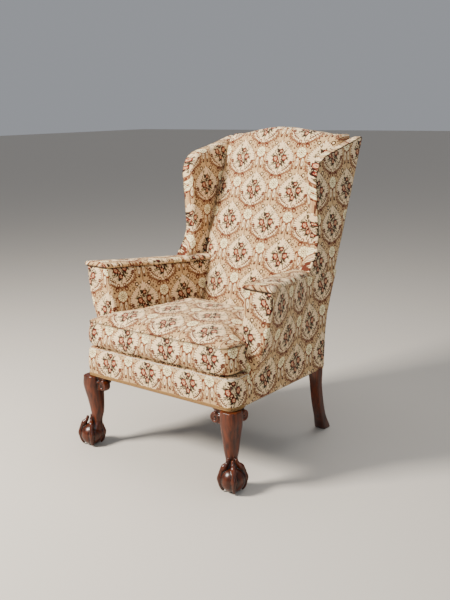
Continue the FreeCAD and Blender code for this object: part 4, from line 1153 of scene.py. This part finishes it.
def front_leg(side):
    """Cabriole leg with a ball and claw, an ear on each side of its knee and its post in the frame."""
    bm = bmesh.new()
    sections = []
    for share in steps(40):
        z = ANKLE + (HEM - ANKLE) * share
        back = spline(LEG_BACK, z) / sqrt(2)
        half = spline(LEG_HALF, z)
        sections.append((side * (FOOT_X - back), FOOT_Y + back, z, half, half, spline(LEG_POWER, z)))
    add_stack(bm, sections)
    add_stack(bm, [(side * 0.2997, 0.028, z, 0.025, 0.025, 0.2) for z in POST_LEVELS], 24)
    ball = []
    for share in steps(24):
        lift = pi * (share - 0.5)
        half = max(0.002, BALL * 0.99 * cos(lift))
        ball.append((side * FOOT_X, FOOT_Y, max(0, BALL_Z + BALL * sin(lift)), half, half, 1))
    add_stack(bm, ball, 40)
    for turn in (-45, 45, 135, 225):
        claw(bm, side, radians(turn))
    ear(bm, side, True)
    ear(bm, side, False)
    return carved(bm, 0.0019)


def post_middle(node):
    """Centre in plan of a rear leg's post, off the drawn solid."""
    tops = [vert.co for vert in frame["nodes"][node].data.vertices if vert.co.z > 0.3]
    x = [abs(point.x) for point in tops]
    y = [point.y - FRONT for point in tops]
    return (min(x) + max(x)) / 2, (min(y) + max(y)) / 2


def rear_leg(name, side):
    """Square leg swept back, with its post in the frame."""
    bm = bmesh.new()
    top_x, top_y = post_middle("rear_leg_" + name)
    sections = []
    for share in steps(24):
        lean = share ** 1.9
        half = 0.018 + 0.005 * ease(bar(share, 0.72, 1)) + 0.003 * (1 - ease(bar(share, 0, 0.25)))
        x, y = top_x + (0.247 - top_x) * lean, top_y + (0.639 - top_y) * lean
        sections.append((side * x, y, HEM * (1 - share), half, half, 0.36))
    add_stack(bm, sections, 40)
    add_stack(bm, [(side * top_x, top_y, z, 0.0195, 0.0195, 0.2) for z in POST_LEVELS], 24)
    return carved(bm, 0.0024)


for name, side in SIDES:
    add_piece("carved_leg_" + name, front_leg(side),
              ("front_leg_" + name, "knee_ear_front_" + name, "knee_ear_side_" + name), walnut, "walnut")
    add_piece("swept_leg_" + name, rear_leg(name, side), ("rear_leg_" + name,), walnut, "walnut")

# Platform and bottom cloth


def platform():
    """Cloth over the seat's stuffing, from under the border's roll to the inside back."""
    _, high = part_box("platform_cover")
    front, rear = 0.016, high.y - FRONT - 0.002

    def place(s, t):
        y = front + (rear - front) * t
        half = side_x(y) - 0.018 if y < ARM_FRONT else arm_inner(y, RAIL_TOP) - 0.003
        rise = 0.0008 * sin(pi * s) * sin(pi * t)
        return at((2 * s - 1) * half, y, high.z - 0.0012 + rise)

    return grid_piece(60, 60, place, level, (0.0003, 0.05, 41), thick=0.002,
                      core=at(0, 0.2, 0))


def at_leg(point):
    """Whether a spot of the bottom cloth is where a leg goes up into the frame."""
    x, y = abs(point.x), point.y - FRONT
    return (x > 0.272 and y < 0.058) or (x > 0.262 and y > BACK_FOOT - 0.048)


def bottom_cloth():
    """Thin cloth tacked under the seat rails, cut round the legs and sagging a little in its middle."""
    _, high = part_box("bottom_cloth")
    front, rear = 0.004, BACK_FOOT - 0.004

    def place(s, t):
        y = front + (rear - front) * t
        sag = 0.003 * sin(pi * s) * sin(pi * t)
        return at((2 * s - 1) * (side_x(y) - 0.004), y, high.z - 0.0002 - sag)

    return grid_piece(80, 70, place, level, thick=0.0008, core=at(0, 0.3, 0.5),
                      gone=at_leg)


# Stuff of the inner parts


def plain_material(name, colour, roughness, metallic=0.0, scale=400, strength=0.3):
    """Even stuff with a fine fleck and grain."""
    material, tree = new_tree(name)
    place = add_node(tree, "TexCoord", {})
    fleck = add_node(tree, "TexNoise", {"Vector": place.outputs["Object"], "Scale": scale, "Detail": 3})
    value = calc("MULTIPLY_ADD", Signal(tree, fleck.outputs[0]), 0.5, 0.75)
    tone = add_node(tree, "HueSaturation", {"Color": colour, "Value": value})
    finish_shader(tree, tone.outputs[0], fleck.outputs[0], strength, 0.0006, Roughness=roughness,
                  Metallic=metallic)
    return material


def woven_material(name, light, dark, thread):
    """Plain open weave of webbing, hessian or lining on Object coordinates."""
    material, tree = new_tree(name)
    x, y, z = signals(tree, add_node(tree, "TexCoord", {}).outputs["Object"])
    weave = sine((x + z * 0.5) * (pi / thread)) * sine((y + z) * (pi / thread))
    share = calc("MULTIPLY_ADD", weave, 0.5, 0.5)
    finish_shader(tree, paint(tree, dark, share, light), share, 0.4, 0.0006, Roughness=0.9)
    return material


lining = woven_material("lining", srgb(84, 74, 64), srgb(58, 50, 44), 0.0012)
ticking = woven_material("platform_cloth", srgb(206, 186, 152), srgb(168, 146, 112), 0.0014)
STUFF = {
    "beech": beech, "walnut": walnut, "lining": lining, "tapestry": tapestry,
    "webbing": woven_material("webbing", srgb(196, 170, 126), srgb(120, 84, 54), 0.0026),
    "hessian": woven_material("hessian", srgb(178, 144, 98), srgb(110, 80, 48), 0.0022),
    "stuffing": plain_material("stuffing", srgb(196, 184, 164), 0.95, scale=120, strength=0.8),
    "spring_steel": plain_material("spring_steel", srgb(150, 140, 126), 0.42, 0.85, scale=60),
    "screw_steel": plain_material("screw_steel", srgb(176, 172, 164), 0.35, 0.9, scale=90),
}
slots = {entry["node"]: entry["material_slot"] for entry in frame["record"]["subparts"]}
deck = add_piece("platform", platform(), ("platform_cover",), ticking, slots["platform_cover"])
under = add_piece("under_cloth", bottom_cloth(), ("bottom_cloth",), lining, slots["bottom_cloth"])
for node, part in frame["nodes"].items():
    if slots.get(node) in STUFF:
        for entry in part.material_slots:
            entry.material = STUFF[slots[node]]

# Floor, light and camera


def staged(name, data):
    """Puts an object in the scene that isn't part of the chair."""
    thing = bpy.data.objects.new(name, data)
    bpy.context.scene.collection.objects.link(thing)
    return thing


floor_bm = bmesh.new()
bmesh.ops.create_grid(floor_bm, x_segments=4, y_segments=4, size=30)
floor_mesh = bpy.data.meshes.new("floor")
floor_bm.to_mesh(floor_mesh)
floor_bm.free()
floor_material, tree = new_tree("floor")
inputs = tree.nodes["Principled BSDF"].inputs
inputs["Base Color"].default_value = srgb(204, 196, 184)
inputs["Roughness"].default_value = 0.7
floor_mesh.materials.append(floor_material)
staged("floor", floor_mesh)


def lamp(name, place, target, power, size, tone):
    light = bpy.data.lights.new(name, "AREA")
    light.energy = power
    light.size = size
    light.color = tone
    holder = staged(name, light)
    holder.location = place
    holder.rotation_euler = (Vector(target) - Vector(place)).to_track_quat("-Z", "Y").to_euler()


lamp("key", (-1.5, -2.6, 2.6), (0, 0, 0.5), 340, 0.9, (1, 0.95, 0.88))
lamp("fill", (2.8, -2.2, 1.8), (0, 0, 0.5), 36, 2.4, (0.8, 0.9, 1))
lamp("top", (0.2, 0.6, 3.0), (0, 0, 0.6), 34, 2.0, (1, 1, 1))
world = bpy.data.worlds.new("studio")
bpy.context.scene.world = world
world.use_nodes = True
background = world.node_tree.nodes["Background"].inputs
background["Color"].default_value = srgb(224, 228, 236)
background["Strength"].default_value = 0.42

yaw, pitch, roll = radians(39.52), radians(12.84), -0.0178
camera_data = bpy.data.cameras.new("camera")
camera_data.lens = 51.6
camera = staged("camera", camera_data)
camera.matrix_world = (Matrix.Translation((1.911, -1.942 + FRONT, 1.19)) @ Matrix.Rotation(yaw, 4, "Z")
                       @ Matrix.Rotation(pi / 2 - pitch, 4, "X") @ Matrix.Rotation(roll, 4, "Z"))
bpy.context.scene.camera = camera
